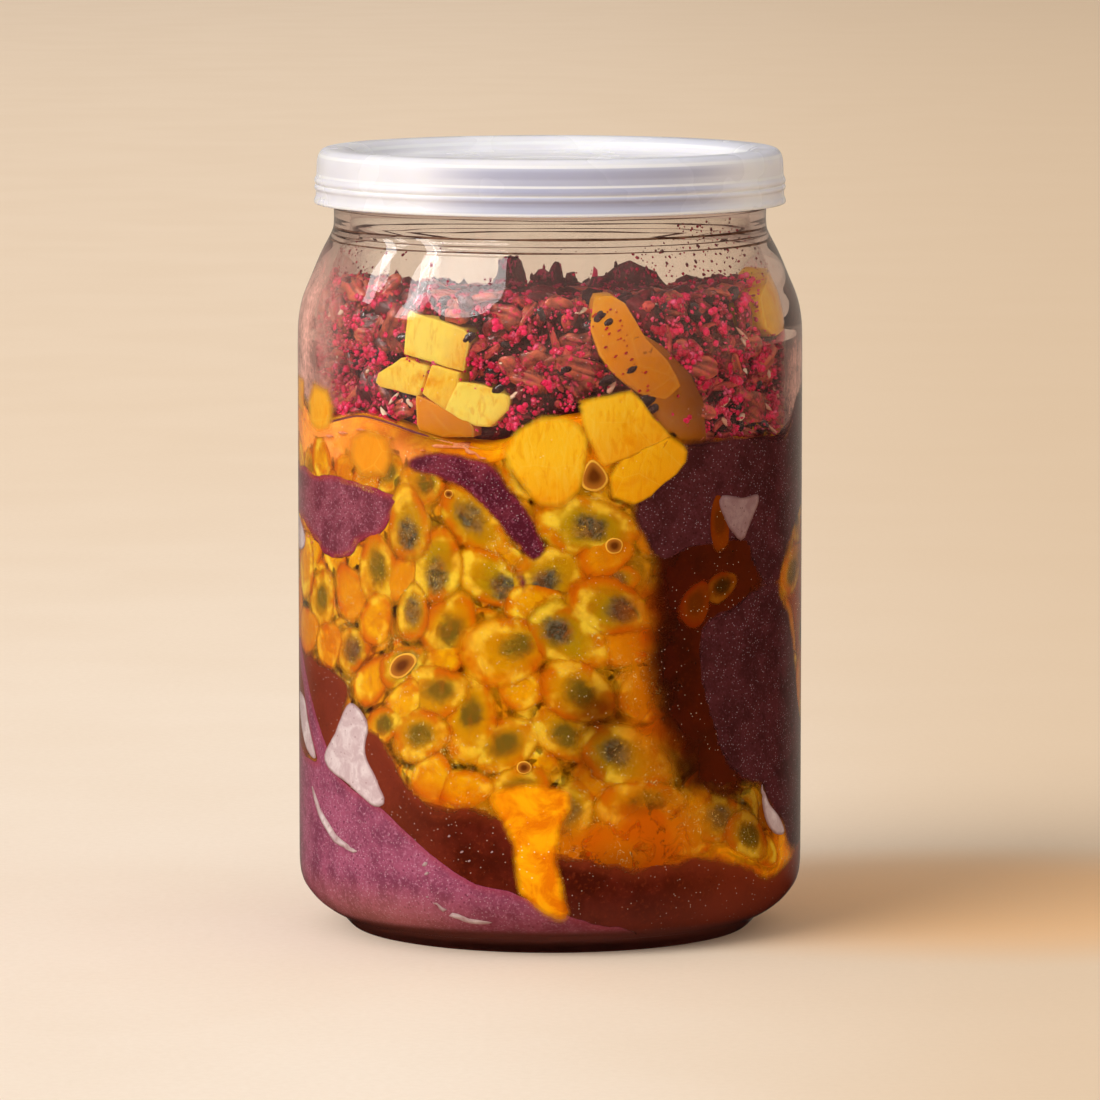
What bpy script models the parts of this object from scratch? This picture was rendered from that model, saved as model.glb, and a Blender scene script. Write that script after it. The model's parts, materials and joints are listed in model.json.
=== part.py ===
"""Jar of acai: a glass jar with a push-on lid, filled in layers with blended acai, dark juice,
passion fruit pulp, diced mango and a heap of dry toppings.

Lengths are in metres and +Z is up. The jar stands on its foot ring with its axis on Z.
Azimuths are in degrees, 0 at the front (-Y), and grow towards +X.
"""

import math

import bmesh
import bpy
import numpy as np
from mathutils import Matrix, Vector, noise

ROUND_STEPS = 48
FILL_STEPS = 36
FACET_DEGREES = 360 / FILL_STEPS
SMOOTH_UP_TO = math.radians(40)
WELD = 1e-6
CUT_WELD = 5e-6

# Clearance between neighbouring pieces.
GAP = 0.0003
CUTTER_GAP = 0.0004

# Inside of the straight wall, and how far untrimmed layers, pieces and cutters run past it.
CAVITY_RADIUS = 0.0383
FILL_RADIUS = CAVITY_RADIUS - GAP
LAYER_REACH = 0.0460
CUTTER_REACH = 0.0475
PIECE_REACH = 0.0490
NOTCH_REACH = 0.0520

# Section of the jar as (radius, height): up the inside, over the rim and down the outside.
JAR_SECTION = (
    (0.0, 0.0046),
    (0.0325, 0.0046),
    (0.0352, 0.0053),
    (0.0373, 0.0073),
    (0.0383, 0.0112),
    (0.0383, 0.0960),
    (0.0380, 0.1006),
    (0.0368, 0.1044),
    (0.0338, 0.1112),
    (0.0326, 0.1135),
    (0.0324, 0.1155),
    (0.0324, 0.1243),
    (0.0330, 0.1252),
    (0.0345, 0.1252),
    (0.0351, 0.1244),
    (0.0351, 0.1216),
    (0.0360, 0.1204),
    (0.0351, 0.1188),
    (0.0350, 0.1145),
    (0.0355, 0.1131),
    (0.0372, 0.1100),
    (0.0388, 0.1061),
    (0.0402, 0.1029),
    (0.0409, 0.0995),
    (0.0410, 0.0955),
    (0.0410, 0.0100),
    (0.0405, 0.0077),
    (0.0395, 0.0061),
    (0.0380, 0.0044),
    (0.0357, 0.0028),
    (0.0343, 0.0023),
    (0.0329, 0.0006),
    (0.0320, 0.0),
    (0.0270, 0.0),
    (0.0255, 0.0010),
    (0.0, 0.0018),
)

# Section of the lid: under the panel, round the groove over the rim, down the skirt and back up.
LID_SECTION = (
    (0.0, 0.1234),
    (0.0308, 0.1234),
    (0.0320, 0.1240),
    (0.0324, 0.1256),
    (0.0352, 0.1258),
    (0.0363, 0.1250),
    (0.0367, 0.1230),
    (0.0372, 0.1180),
    (0.0382, 0.1180),
    (0.0382, 0.1206),
    (0.0379, 0.1209),
    (0.0382, 0.1213),
    (0.0382, 0.1219),
    (0.0379, 0.1223),
    (0.0378, 0.1250),
    (0.0374, 0.1263),
    (0.0365, 0.1270),
    (0.0334, 0.1270),
    (0.0322, 0.1263),
    (0.0312, 0.1246),
    (0.0, 0.1246),
)

# Section that the filling is trimmed to: the cavity less the clearance, up to the neck.
FILL_SECTION = (
    (0.0, 0.0049),
    (0.0324, 0.0049),
    (0.0350, 0.0056),
    (0.0370, 0.0075),
    (0.0380, 0.0113),
    (0.0380, 0.0960),
    (0.0377, 0.1005),
    (0.0365, 0.1042),
    (0.0335, 0.1110),
    (0.0, 0.1110),
)

# Radii at which the surfaces between layers are shaped.
LAYER_RINGS = (0.012, 0.022, 0.031)

# Where each surface meets the glass, as (azimuth, height), going round the jar.
ACAI_BASE_TOP = (
    (-165, 0.034),
    (-90, 0.041),
    (-75, 0.036),
    (-67, 0.030),
    (-45, 0.0235),
    (-30, 0.017),
    (-15, 0.012),
    (0, 0.009),
    (15, 0.0075),
    (90, 0.0075),
    (150, 0.018),
)
JUICE_TOP = (
    (-165, 0.042),
    (-90, 0.047),
    (-67, 0.046),
    (-54, 0.042),
    (-45, 0.035),
    (-30, 0.0245),
    (-12, 0.023),
    (-6, 0.014),
    (0, 0.014),
    (7, 0.0165),
    (37, 0.016),
    (60, 0.011),
    (90, 0.012),
    (150, 0.030),
)
ACAI_UPPER_LOW = (
    (-150, 0.062),
    (-90, 0.067),
    (-60, 0.0625),
    (-38, 0.068),
    (0, 0.070),
    (22, 0.072),
    (30, 0.066),
    (37, 0.064),
    (38, 0.045),
    (45, 0.030),
    (60, 0.024),
    (75, 0.016),
    (90, 0.014),
    (110, 0.022),
    (135, 0.050),
)
ACAI_UPPER_TOP = (
    (-150, 0.078),
    (-90, 0.076),
    (-60, 0.0755),
    (-38, 0.0735),
    (0, 0.076),
    (22, 0.076),
    (30, 0.085),
    (150, 0.090),
)
TOPPING_LOW = (
    (-150, 0.087),
    (-90, 0.088),
    (-70, 0.083),
    (-50, 0.085),
    (-30, 0.084),
    (-12, 0.082),
    (0, 0.086),
    (15, 0.088),
    (30, 0.083),
    (45, 0.081),
    (67, 0.079),
    (82, 0.086),
    (150, 0.087),
)
TOPPING_TOP = (
    (-150, 0.104),
    (-90, 0.104),
    (-60, 0.107),
    (-45, 0.107),
    (-25, 0.103),
    (-10, 0.108),
    (5, 0.105),
    (15, 0.107),
    (35, 0.106),
    (60, 0.107),
    (90, 0.106),
    (150, 0.104),
)

# Level that each surface settles to on the axis.
ACAI_BASE_MIDDLE = 0.017
JUICE_MIDDLE = 0.027
ACAI_UPPER_LOW_MIDDLE = 0.062
ACAI_UPPER_TOP_MIDDLE = 0.078
TOPPING_LOW_MIDDLE = 0.086
TOPPING_TOP_MIDDLE = 0.106
LUMP_HEIGHT = 0.0035
LUMP_SPACING = 0.009

# Outlines on the glass, as (azimuth, height) corners.
FRONT_NOTCH = (
    (-41, 0.058),
    (18, 0.058),
    (24, 0.070),
    (21, 0.076),
    (32, 0.082),
    (34, 0.096),
    (-38, 0.096),
    (-37, 0.074),
    (-41, 0.070),
)
RIBBON = (
    (-35, 0.0785),
    (-29, 0.0812),
    (-20, 0.0808),
    (-13, 0.0775),
    (-7, 0.0705),
    (-2.5, 0.0660),
    (-5, 0.0635),
    (-10, 0.0690),
    (-16, 0.0755),
    (-24, 0.0765),
)
JUICE_POCKET = (
    (24, 0.066),
    (23.5, 0.054),
    (25, 0.042),
    (29, 0.033),
    (35, 0.030),
    (41, 0.034),
    (38, 0.045),
    (37, 0.0655),
)
PULP_POCKET = (
    (67, 0.0575),
    (75, 0.0515),
    (80, 0.0430),
    (88, 0.0360),
    (98, 0.0400),
    (98, 0.0660),
    (84, 0.0680),
    (74, 0.0630),
)
NOTCH_DEPTH = 0.0235
RIBBON_DEPTH = 0.018
POCKET_DEPTH = 0.024

# Each piece of mango: azimuth and height of its middle, width, height, depth and turn on the glass.
MANGO_PIECES = (
    (-26.5, 0.0973, 0.0100, 0.0078, 0.0085, -8),
    (-35.5, 0.0908, 0.0096, 0.0042, 0.0080, 12),
    (-24.0, 0.0897, 0.0068, 0.0058, 0.0075, -14),
    (-15.6, 0.0862, 0.0072, 0.0060, 0.0080, -10),
    (-25.5, 0.0835, 0.0070, 0.0042, 0.0065, -4),
    (-4.5, 0.0785, 0.0112, 0.0125, 0.0095, 14),
    (11.5, 0.0855, 0.0105, 0.0100, 0.0090, -12),
    (21.0, 0.0765, 0.0095, 0.0075, 0.0085, -10),
    (13.6, 0.0985, 0.0062, 0.0125, 0.0080, 20),
    (26.0, 0.0925, 0.0068, 0.0120, 0.0080, 24),
    (67.5, 0.1018, 0.0150, 0.0068, 0.0080, 12),
    (-84.5, 0.0875, 0.0085, 0.0062, 0.0080, 4),
    (-68.0, 0.0860, 0.0060, 0.0046, 0.0075, 6),
    (-46.0, 0.0798, 0.0085, 0.0068, 0.0085, 8),
)
MANGO_EDGE = 0.0009


def clear_scene():
    """Starts from an empty scene."""
    for obj in list(bpy.data.objects):
        bpy.data.objects.remove(obj)


def material(name, colour, roughness, metallic=0.0, transmission=0.0):
    """A Principled material from linear RGB."""
    made = bpy.data.materials.new(name)
    made.use_nodes = True
    shader = made.node_tree.nodes["Principled BSDF"]
    shader.inputs["Base Color"].default_value = (*colour, 1.0)
    shader.inputs["Roughness"].default_value = roughness
    shader.inputs["Metallic"].default_value = metallic
    shader.inputs["Transmission Weight"].default_value = transmission
    made.diffuse_color = (*colour, 1.0)
    return made


def glass():
    """Clear container glass."""
    return material("clear_glass", (0.90, 0.93, 0.92), 0.03, transmission=1.0)


def milky_plastic():
    """Translucent lid plastic."""
    return material("milky_plastic", (0.80, 0.81, 0.86), 0.35)


def acai_purple():
    """Frozen blended acai, as in the lower layer."""
    return material("acai_purple", (0.20, 0.055, 0.11), 0.6)


def acai_plum():
    """Frozen blended acai, darker, as in the upper layer."""
    return material("acai_plum", (0.095, 0.022, 0.038), 0.6)


def dark_juice():
    """Dark red-brown juice between the layers."""
    return material("dark_juice", (0.10, 0.016, 0.008), 0.25)


def passion_gold():
    """Golden passion fruit pulp."""
    return material("passion_gold", (0.80, 0.33, 0.012), 0.3)


def mango_yellow():
    """Ripe mango flesh."""
    return material("mango_yellow", (0.85, 0.45, 0.02), 0.4)


def topping_red():
    """Dry topping of raspberry crumbs, nuts and seeds."""
    return material("topping_red", (0.33, 0.045, 0.035), 0.75)


def object_from(name, shape, finish):
    """Turns a bmesh into a named object with its material, and frees the bmesh."""
    mesh = bpy.data.meshes.new(name)
    shape.to_mesh(mesh)
    shape.free()
    mesh.materials.append(finish)
    made = bpy.data.objects.new(name, mesh)
    bpy.context.scene.collection.objects.link(made)
    return made


def smooth(obj):
    """Shades an object smooth but for its sharp edges."""
    obj.data.polygons.foreach_set("use_smooth", [True] * len(obj.data.polygons))
    obj.data.set_sharp_from_angle(angle=SMOOTH_UP_TO)


def lathe(name, section, finish, steps=ROUND_STEPS):
    """A solid of revolution from a section that ends on the axis at both ends."""
    shape = bmesh.new()
    points = [shape.verts.new((radius, 0.0, height)) for radius, height in section]
    edges = [shape.edges.new(pair) for pair in zip(points, points[1:])]
    bmesh.ops.spin(
        shape,
        geom=points + edges,
        axis=(0, 0, 1),
        angle=math.tau,
        steps=steps,
        use_merge=True,
    )
    bmesh.ops.remove_doubles(shape, verts=shape.verts, dist=WELD)
    bmesh.ops.recalc_face_normals(shape, faces=shape.faces)
    made = object_from(name, shape, finish)
    smooth(made)
    return made


def on_jar(azimuth, radius, height):
    """The point at an azimuth in degrees, a radius and a height."""
    turn = math.radians(azimuth)
    return Vector((radius * math.sin(turn), -radius * math.cos(turn), height))


def surface(stations, middle, bend=1.6, lumps=0.0):
    """A surface across the jar as a function of azimuth and radius. It follows the stations at
    the glass and settles to its middle level on the axis."""
    azimuths, heights = zip(*stations)

    def height(azimuth, radius):
        at_glass = np.interp(azimuth, azimuths, heights, period=360)
        share = min(radius / FILL_RADIUS, 1.0) ** bend
        lump = noise.noise(on_jar(azimuth, min(radius, FILL_RADIUS), 0.0) / LUMP_SPACING)
        return middle + (at_glass - middle) * share + lumps * lump

    return height


def raised(height, rise):
    """A surface moved up by a rise."""
    return lambda azimuth, radius: height(azimuth, radius) + rise


def lower_of(first, second):
    """The lower of two surfaces at each place."""
    return lambda azimuth, radius: min(first(azimuth, radius), second(azimuth, radius))


def sheet(shape, height, reach):
    """Adds one surface to a bmesh as a grid of rings, and returns its outer ring."""
    centre = shape.verts.new((0.0, 0.0, height(0.0, 0.0)))
    rings = []
    for radius in sorted({*LAYER_RINGS, FILL_RADIUS, reach}):
        ring = []
        for step in range(FILL_STEPS):
            azimuth = step * FACET_DEGREES
            ring.append(shape.verts.new(on_jar(azimuth, radius, height(azimuth, radius))))
        rings.append(ring)
    for step in range(FILL_STEPS):
        after = (step + 1) % FILL_STEPS
        shape.faces.new((centre, rings[0][step], rings[0][after]))
        for inside, outside in zip(rings, rings[1:]):
            shape.faces.new((inside[step], outside[step], outside[after]))
            shape.faces.new((inside[step], outside[after], inside[after]))
    return rings[-1]


def slab(name, low, high, finish, reach=FILL_RADIUS):
    """A layer between two surfaces, out to its reach all round."""
    shape = bmesh.new()
    under = sheet(shape, low, reach)
    over = sheet(shape, high, reach)
    for step in range(FILL_STEPS):
        after = (step + 1) % FILL_STEPS
        shape.faces.new((under[step], under[after], over[after], over[step]))
    bmesh.ops.recalc_face_normals(shape, faces=shape.faces)
    return object_from(name, shape, finish)


def widened(outline, margin):
    """An outline on the glass with each side moved out by a margin."""
    across = math.radians(FILL_RADIUS)
    corners = np.array(outline) * (across, 1.0)
    sides = np.roll(corners, -1, axis=0) - corners
    area = np.cross(corners, np.roll(corners, -1, axis=0)).sum()
    sides *= np.sign(area) / np.linalg.norm(sides, axis=1, keepdims=True)
    out = np.stack((sides[:, 1], -sides[:, 0]), axis=1)
    before = np.roll(out, 1, axis=0)
    spread = 1.0 + (out * before).sum(axis=1, keepdims=True)
    return (corners + margin * (out + before) / spread) / (across, 1.0)


def split(shape, point, across):
    """Adds the edges where a plane crosses a bmesh."""
    everything = shape.verts[:] + shape.edges[:] + shape.faces[:]
    bmesh.ops.bisect_plane(shape, geom=everything, dist=WELD, plane_co=point, plane_no=across)


def block(name, outline, inner, reach, finish, margin=0.0):
    """A block behind an outline on the glass, from an inner radius out to its reach."""
    shape = bmesh.new()
    outline = widened(outline, margin)
    shape.faces.new([shape.verts.new((azimuth, inner, height)) for azimuth, height in outline])
    first = math.floor(outline[:, 0].min() / FACET_DEGREES)
    last = math.ceil(outline[:, 0].max() / FACET_DEGREES)
    for step in range(first, last):
        split(shape, ((step + 0.5) * FACET_DEGREES, 0.0, 0.0), (1.0, 0.0, 0.0))
    bmesh.ops.triangulate(shape, faces=shape.faces)
    copied = bmesh.ops.extrude_face_region(shape, geom=shape.faces[:])["geom"]
    for corner in copied:
        if isinstance(corner, bmesh.types.BMVert):
            corner.co.y = reach
    split(shape, (0.0, FILL_RADIUS, 0.0), (0.0, 1.0, 0.0))
    for corner in shape.verts:
        corner.co = on_jar(*corner.co)
    bmesh.ops.triangulate(shape, faces=shape.faces, quad_method="FIXED")
    bmesh.ops.recalc_face_normals(shape, faces=shape.faces)
    return object_from(name, shape, finish)


def tidy(mesh):
    """Splits a mesh into triangles and closes up the shortest edges that a Boolean leaves."""
    shape = bmesh.new()
    shape.from_mesh(mesh)
    bmesh.ops.triangulate(shape, faces=shape.faces)
    bmesh.ops.remove_doubles(shape, verts=shape.verts, dist=CUT_WELD)
    bmesh.ops.dissolve_degenerate(shape, edges=shape.edges, dist=CUT_WELD)
    shape.to_mesh(mesh)
    shape.free()


def combine(obj, other, operation):
    """Applies one exact Boolean to an object and keeps the other object."""
    step = obj.modifiers.new(operation.lower(), "BOOLEAN")
    step.operation = operation
    step.solver = "EXACT"
    step.object = other
    graph = bpy.context.evaluated_depsgraph_get()
    result = bpy.data.meshes.new_from_object(obj.evaluated_get(graph))
    obj.modifiers.clear()
    obj.data = result
    tidy(result)


def cut(obj, *cutters):
    """Takes each cutter out of an object."""
    for cutter in cutters:
        combine(obj, cutter, "DIFFERENCE")


def keep_largest(obj):
    """Drops the small loose bits that crossing cuts leave, and shades what stays."""
    shape = bmesh.new()
    shape.from_mesh(obj.data)
    unseen = set(shape.verts)
    bodies = []
    while unseen:
        body = set()
        edge_of_body = [unseen.pop()]
        while edge_of_body:
            corner = edge_of_body.pop()
            body.add(corner)
            for edge in corner.link_edges:
                neighbour = edge.other_vert(corner)
                if neighbour in unseen:
                    unseen.remove(neighbour)
                    edge_of_body.append(neighbour)
        bodies.append(body)
    bodies.sort(key=len)
    for body in bodies[:-1]:
        bmesh.ops.delete(shape, geom=list(body), context="VERTS")
    shape.to_mesh(obj.data)
    shape.free()
    smooth(obj)


def discard(*helpers):
    """Removes helper objects."""
    for helper in helpers:
        bpy.data.objects.remove(helper)


def build_jar():
    """The glass jar: straight wall, shoulder, neck with a bead for the lid, and a foot ring."""
    return lathe("jar", JAR_SECTION, glass())


def build_lid():
    """The push-on lid: sunken panel, rim over the mouth, and a skirt with a fine double ridge."""
    return lathe("lid", LID_SECTION, milky_plastic())


def upper_acai_shape(name, finish, margin):
    """The upper acai with its front notch and the ribbon that hangs across it, untrimmed."""
    low = raised(surface(ACAI_UPPER_LOW, ACAI_UPPER_LOW_MIDDLE, bend=2.6), -margin)
    high = surface(ACAI_UPPER_TOP, ACAI_UPPER_TOP_MIDDLE)
    high = raised(lower_of(high, surface(TOPPING_LOW, TOPPING_LOW_MIDDLE)), margin)
    reach = CUTTER_REACH if margin else FILL_RADIUS
    acai = slab(name, low, high, finish, reach)
    notch = block("notch", FRONT_NOTCH, NOTCH_DEPTH + margin, NOTCH_REACH, finish, -margin)
    ribbon = block("ribbon", RIBBON, RIBBON_DEPTH - margin, reach, finish, margin)
    cut(acai, notch)
    combine(acai, ribbon, "UNION")
    discard(notch, ribbon)
    return acai


def mango_block(name, piece, finish, margin):
    """One cut of mango that runs past the glass, with its edges eased."""
    azimuth, height, width, tall, depth, turn = piece
    shape = bmesh.new()
    reach = CUTTER_REACH if margin else PIECE_REACH
    size = (width + 2 * margin, depth + reach - FILL_RADIUS + margin, tall + 2 * margin)
    bmesh.ops.create_cube(shape, size=1.0, matrix=Matrix.Diagonal((*size, 1.0)))
    bmesh.ops.bevel(
        shape,
        geom=shape.edges[:],
        offset=MANGO_EDGE,
        segments=1,
        affect="EDGES",
    )
    made = object_from(name, shape, finish)
    made.location = on_jar(azimuth, reach - size[1] / 2, height)
    made.rotation_euler = (0.0, math.radians(turn), math.radians(azimuth))
    return made


def build_mango(filling, finish):
    """Every piece of mango against the glass, and one cutter that makes room for them all."""
    room = None
    for number, piece in enumerate(MANGO_PIECES, start=1):
        made = mango_block(f"mango_{number:02d}", piece, finish, 0.0)
        combine(made, filling, "INTERSECT")
        cutter = mango_block("mango_room", piece, finish, CUTTER_GAP)
        if room:
            cut(made, room)
            combine(room, cutter, "UNION")
            discard(cutter)
        else:
            room = cutter
        keep_largest(made)
    return room


def pocket_pair(name, outline, finish):
    """A pocket of one food within another, and the slightly larger cutter that makes room."""
    pocket = block(name, outline, POCKET_DEPTH, FILL_RADIUS, finish)
    cutter = block(f"{name}_cutter", outline, POCKET_DEPTH - GAP, NOTCH_REACH, finish, GAP)
    return pocket, cutter


def build_filling():
    """Everything inside the jar, from the floor up."""
    purple = acai_purple()
    plum = acai_plum()
    juice_finish = dark_juice()
    gold = passion_gold()
    filling = lathe("filling", FILL_SECTION, gold, FILL_STEPS)
    base_top = surface(ACAI_BASE_TOP, ACAI_BASE_MIDDLE)
    juice_top = surface(JUICE_TOP, JUICE_MIDDLE)
    topping_low = surface(TOPPING_LOW, TOPPING_LOW_MIDDLE)
    topping_top = surface(TOPPING_TOP, TOPPING_TOP_MIDDLE, lumps=LUMP_HEIGHT)
    mango_room = build_mango(filling, mango_yellow())

    base = slab("acai_base", lambda azimuth, radius: 0.0, base_top, purple, LAYER_REACH)
    juice = slab("juice", raised(base_top, GAP), juice_top, juice_finish, LAYER_REACH)
    pulp = slab("passion_pulp", raised(juice_top, GAP), topping_low, gold)
    above = raised(topping_low, GAP)
    topping = slab("topping", above, topping_top, topping_red(), LAYER_REACH)
    acai = upper_acai_shape("acai_upper", plum, 0.0)
    acai_cutter = upper_acai_shape("acai_cutter", plum, CUTTER_GAP)
    juice_pocket, juice_cutter = pocket_pair("juice_pocket", JUICE_POCKET, juice_finish)
    pulp_pocket, pulp_cutter = pocket_pair("pulp_pocket", PULP_POCKET, gold)

    layers = (base, juice, pulp, topping, acai, juice_pocket, pulp_pocket)
    for layer in (base, juice, topping):
        combine(layer, filling, "INTERSECT")
    cut(juice_pocket, acai_cutter)
    cut(acai, pulp_cutter, mango_room)
    cut(pulp, acai_cutter, juice_cutter, pulp_cutter, mango_room)
    cut(topping, mango_room)
    for layer in layers:
        keep_largest(layer)
    discard(filling, acai_cutter, juice_cutter, pulp_cutter, mango_room)


def main():
    """Builds the jar, its lid and its filling."""
    clear_scene()
    build_jar()
    build_lid()
    build_filling()


main()
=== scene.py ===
"""Looks of the jar of acai: the glass, the lid and the layers of the filling.

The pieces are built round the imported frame. Lengths are in millimetres until a mesh is made.
Azimuths are in degrees, 0 at the front (-Y), and grow towards +X.
"""

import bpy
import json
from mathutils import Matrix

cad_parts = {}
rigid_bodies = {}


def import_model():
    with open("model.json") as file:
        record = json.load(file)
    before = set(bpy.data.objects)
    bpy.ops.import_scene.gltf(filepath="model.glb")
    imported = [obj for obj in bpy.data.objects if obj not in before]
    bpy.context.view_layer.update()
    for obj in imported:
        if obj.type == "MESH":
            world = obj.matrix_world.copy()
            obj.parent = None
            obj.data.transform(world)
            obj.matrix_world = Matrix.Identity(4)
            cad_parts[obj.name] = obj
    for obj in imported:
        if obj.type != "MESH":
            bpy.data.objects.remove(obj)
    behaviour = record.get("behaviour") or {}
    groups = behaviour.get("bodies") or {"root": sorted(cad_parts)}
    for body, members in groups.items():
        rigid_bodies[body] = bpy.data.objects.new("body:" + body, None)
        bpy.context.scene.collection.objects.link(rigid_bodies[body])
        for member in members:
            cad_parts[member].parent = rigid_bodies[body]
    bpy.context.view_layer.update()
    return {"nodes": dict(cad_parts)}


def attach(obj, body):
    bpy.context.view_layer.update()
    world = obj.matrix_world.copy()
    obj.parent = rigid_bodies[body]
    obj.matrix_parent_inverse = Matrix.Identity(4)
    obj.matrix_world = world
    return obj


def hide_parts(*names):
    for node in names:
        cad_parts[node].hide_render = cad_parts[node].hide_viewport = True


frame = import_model()

import functools
import itertools
import json
import logging
import math
from dataclasses import dataclass, field
from enum import Enum
from typing import Callable, Iterable, Mapping, Sequence

import bmesh
import bpy
import numpy as np
from mathutils import Euler

log = logging.getLogger("jar of acai")

MM = 0.001
PER_SQUARE_METRE = 1e6
BODY = "root"
WET_GLOSS = 0.03
FIELD_REACH = 8.0

Rgb = tuple[float, float, float]
Corners = tuple[tuple[float, float], ...]
Slope = tuple[float, float, float]
Field = Callable[[np.ndarray, np.ndarray], np.ndarray]


def rgb(red: int, green: int, blue: int) -> Rgb:
    """Linear colour of a display colour.

    Args:
        red: Red from 0 to 255.
        green: Green from 0 to 255.
        blue: Blue from 0 to 255.

    Returns:
        The colour as linear red, green and blue.
    """
    shares = (channel / 255 for channel in (red, green, blue))
    return tuple(c / 12.92 if c <= 0.04045 else ((c + 0.055) / 1.055) ** 2.4 for c in shares)


# Shader graphs


class Value:
    """A shader socket that can be used in arithmetic."""

    def __init__(self, graph: "Graph", socket: bpy.types.NodeSocket) -> None:
        """Wraps a socket of a graph."""
        self.graph = graph
        self.socket = socket

    def __add__(self, other: "Value | float") -> "Value":
        """Sum of two values."""
        return self.graph.math("ADD", self, other)

    __radd__ = __add__

    def __sub__(self, other: "Value | float") -> "Value":
        """This value less another."""
        return self.graph.math("SUBTRACT", self, other)

    def __rsub__(self, other: float) -> "Value":
        """A number less this value."""
        return self.graph.math("SUBTRACT", other, self)

    def __mul__(self, other: "Value | float") -> "Value":
        """Product of two values."""
        return self.graph.math("MULTIPLY", self, other)

    __rmul__ = __mul__

    def __or__(self, other: "Value | float") -> "Value":
        """The greater of two values."""
        return self.graph.math("MAXIMUM", self, other)


Input = Value | bpy.types.NodeSocket | float | Sequence[float] | str


def add_node(
    tree: bpy.types.NodeTree,
    kind: str,
    settings: Mapping[str, object] | None = None,
    inputs: Mapping[str | int, Input] | None = None,
) -> bpy.types.Node:
    """Adds any node to a tree.

    Args:
        tree: The tree.
        kind: The node's type.
        settings: Its settings, which are set first.
        inputs: Values or links of its sockets, by name or index.

    Returns:
        The node.
    """
    made = tree.nodes.new(kind)
    for name, setting in (settings or {}).items():
        setattr(made, name, setting)
    for key, given in (inputs or {}).items():
        socket = made.inputs[key]
        if isinstance(given, Value):
            given = given.socket
        if isinstance(given, bpy.types.NodeSocket):
            tree.links.new(given, socket)
        elif socket.type == "RGBA":
            socket.default_value = (*given, 1.0)
        else:
            socket.default_value = given
    return made


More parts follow.
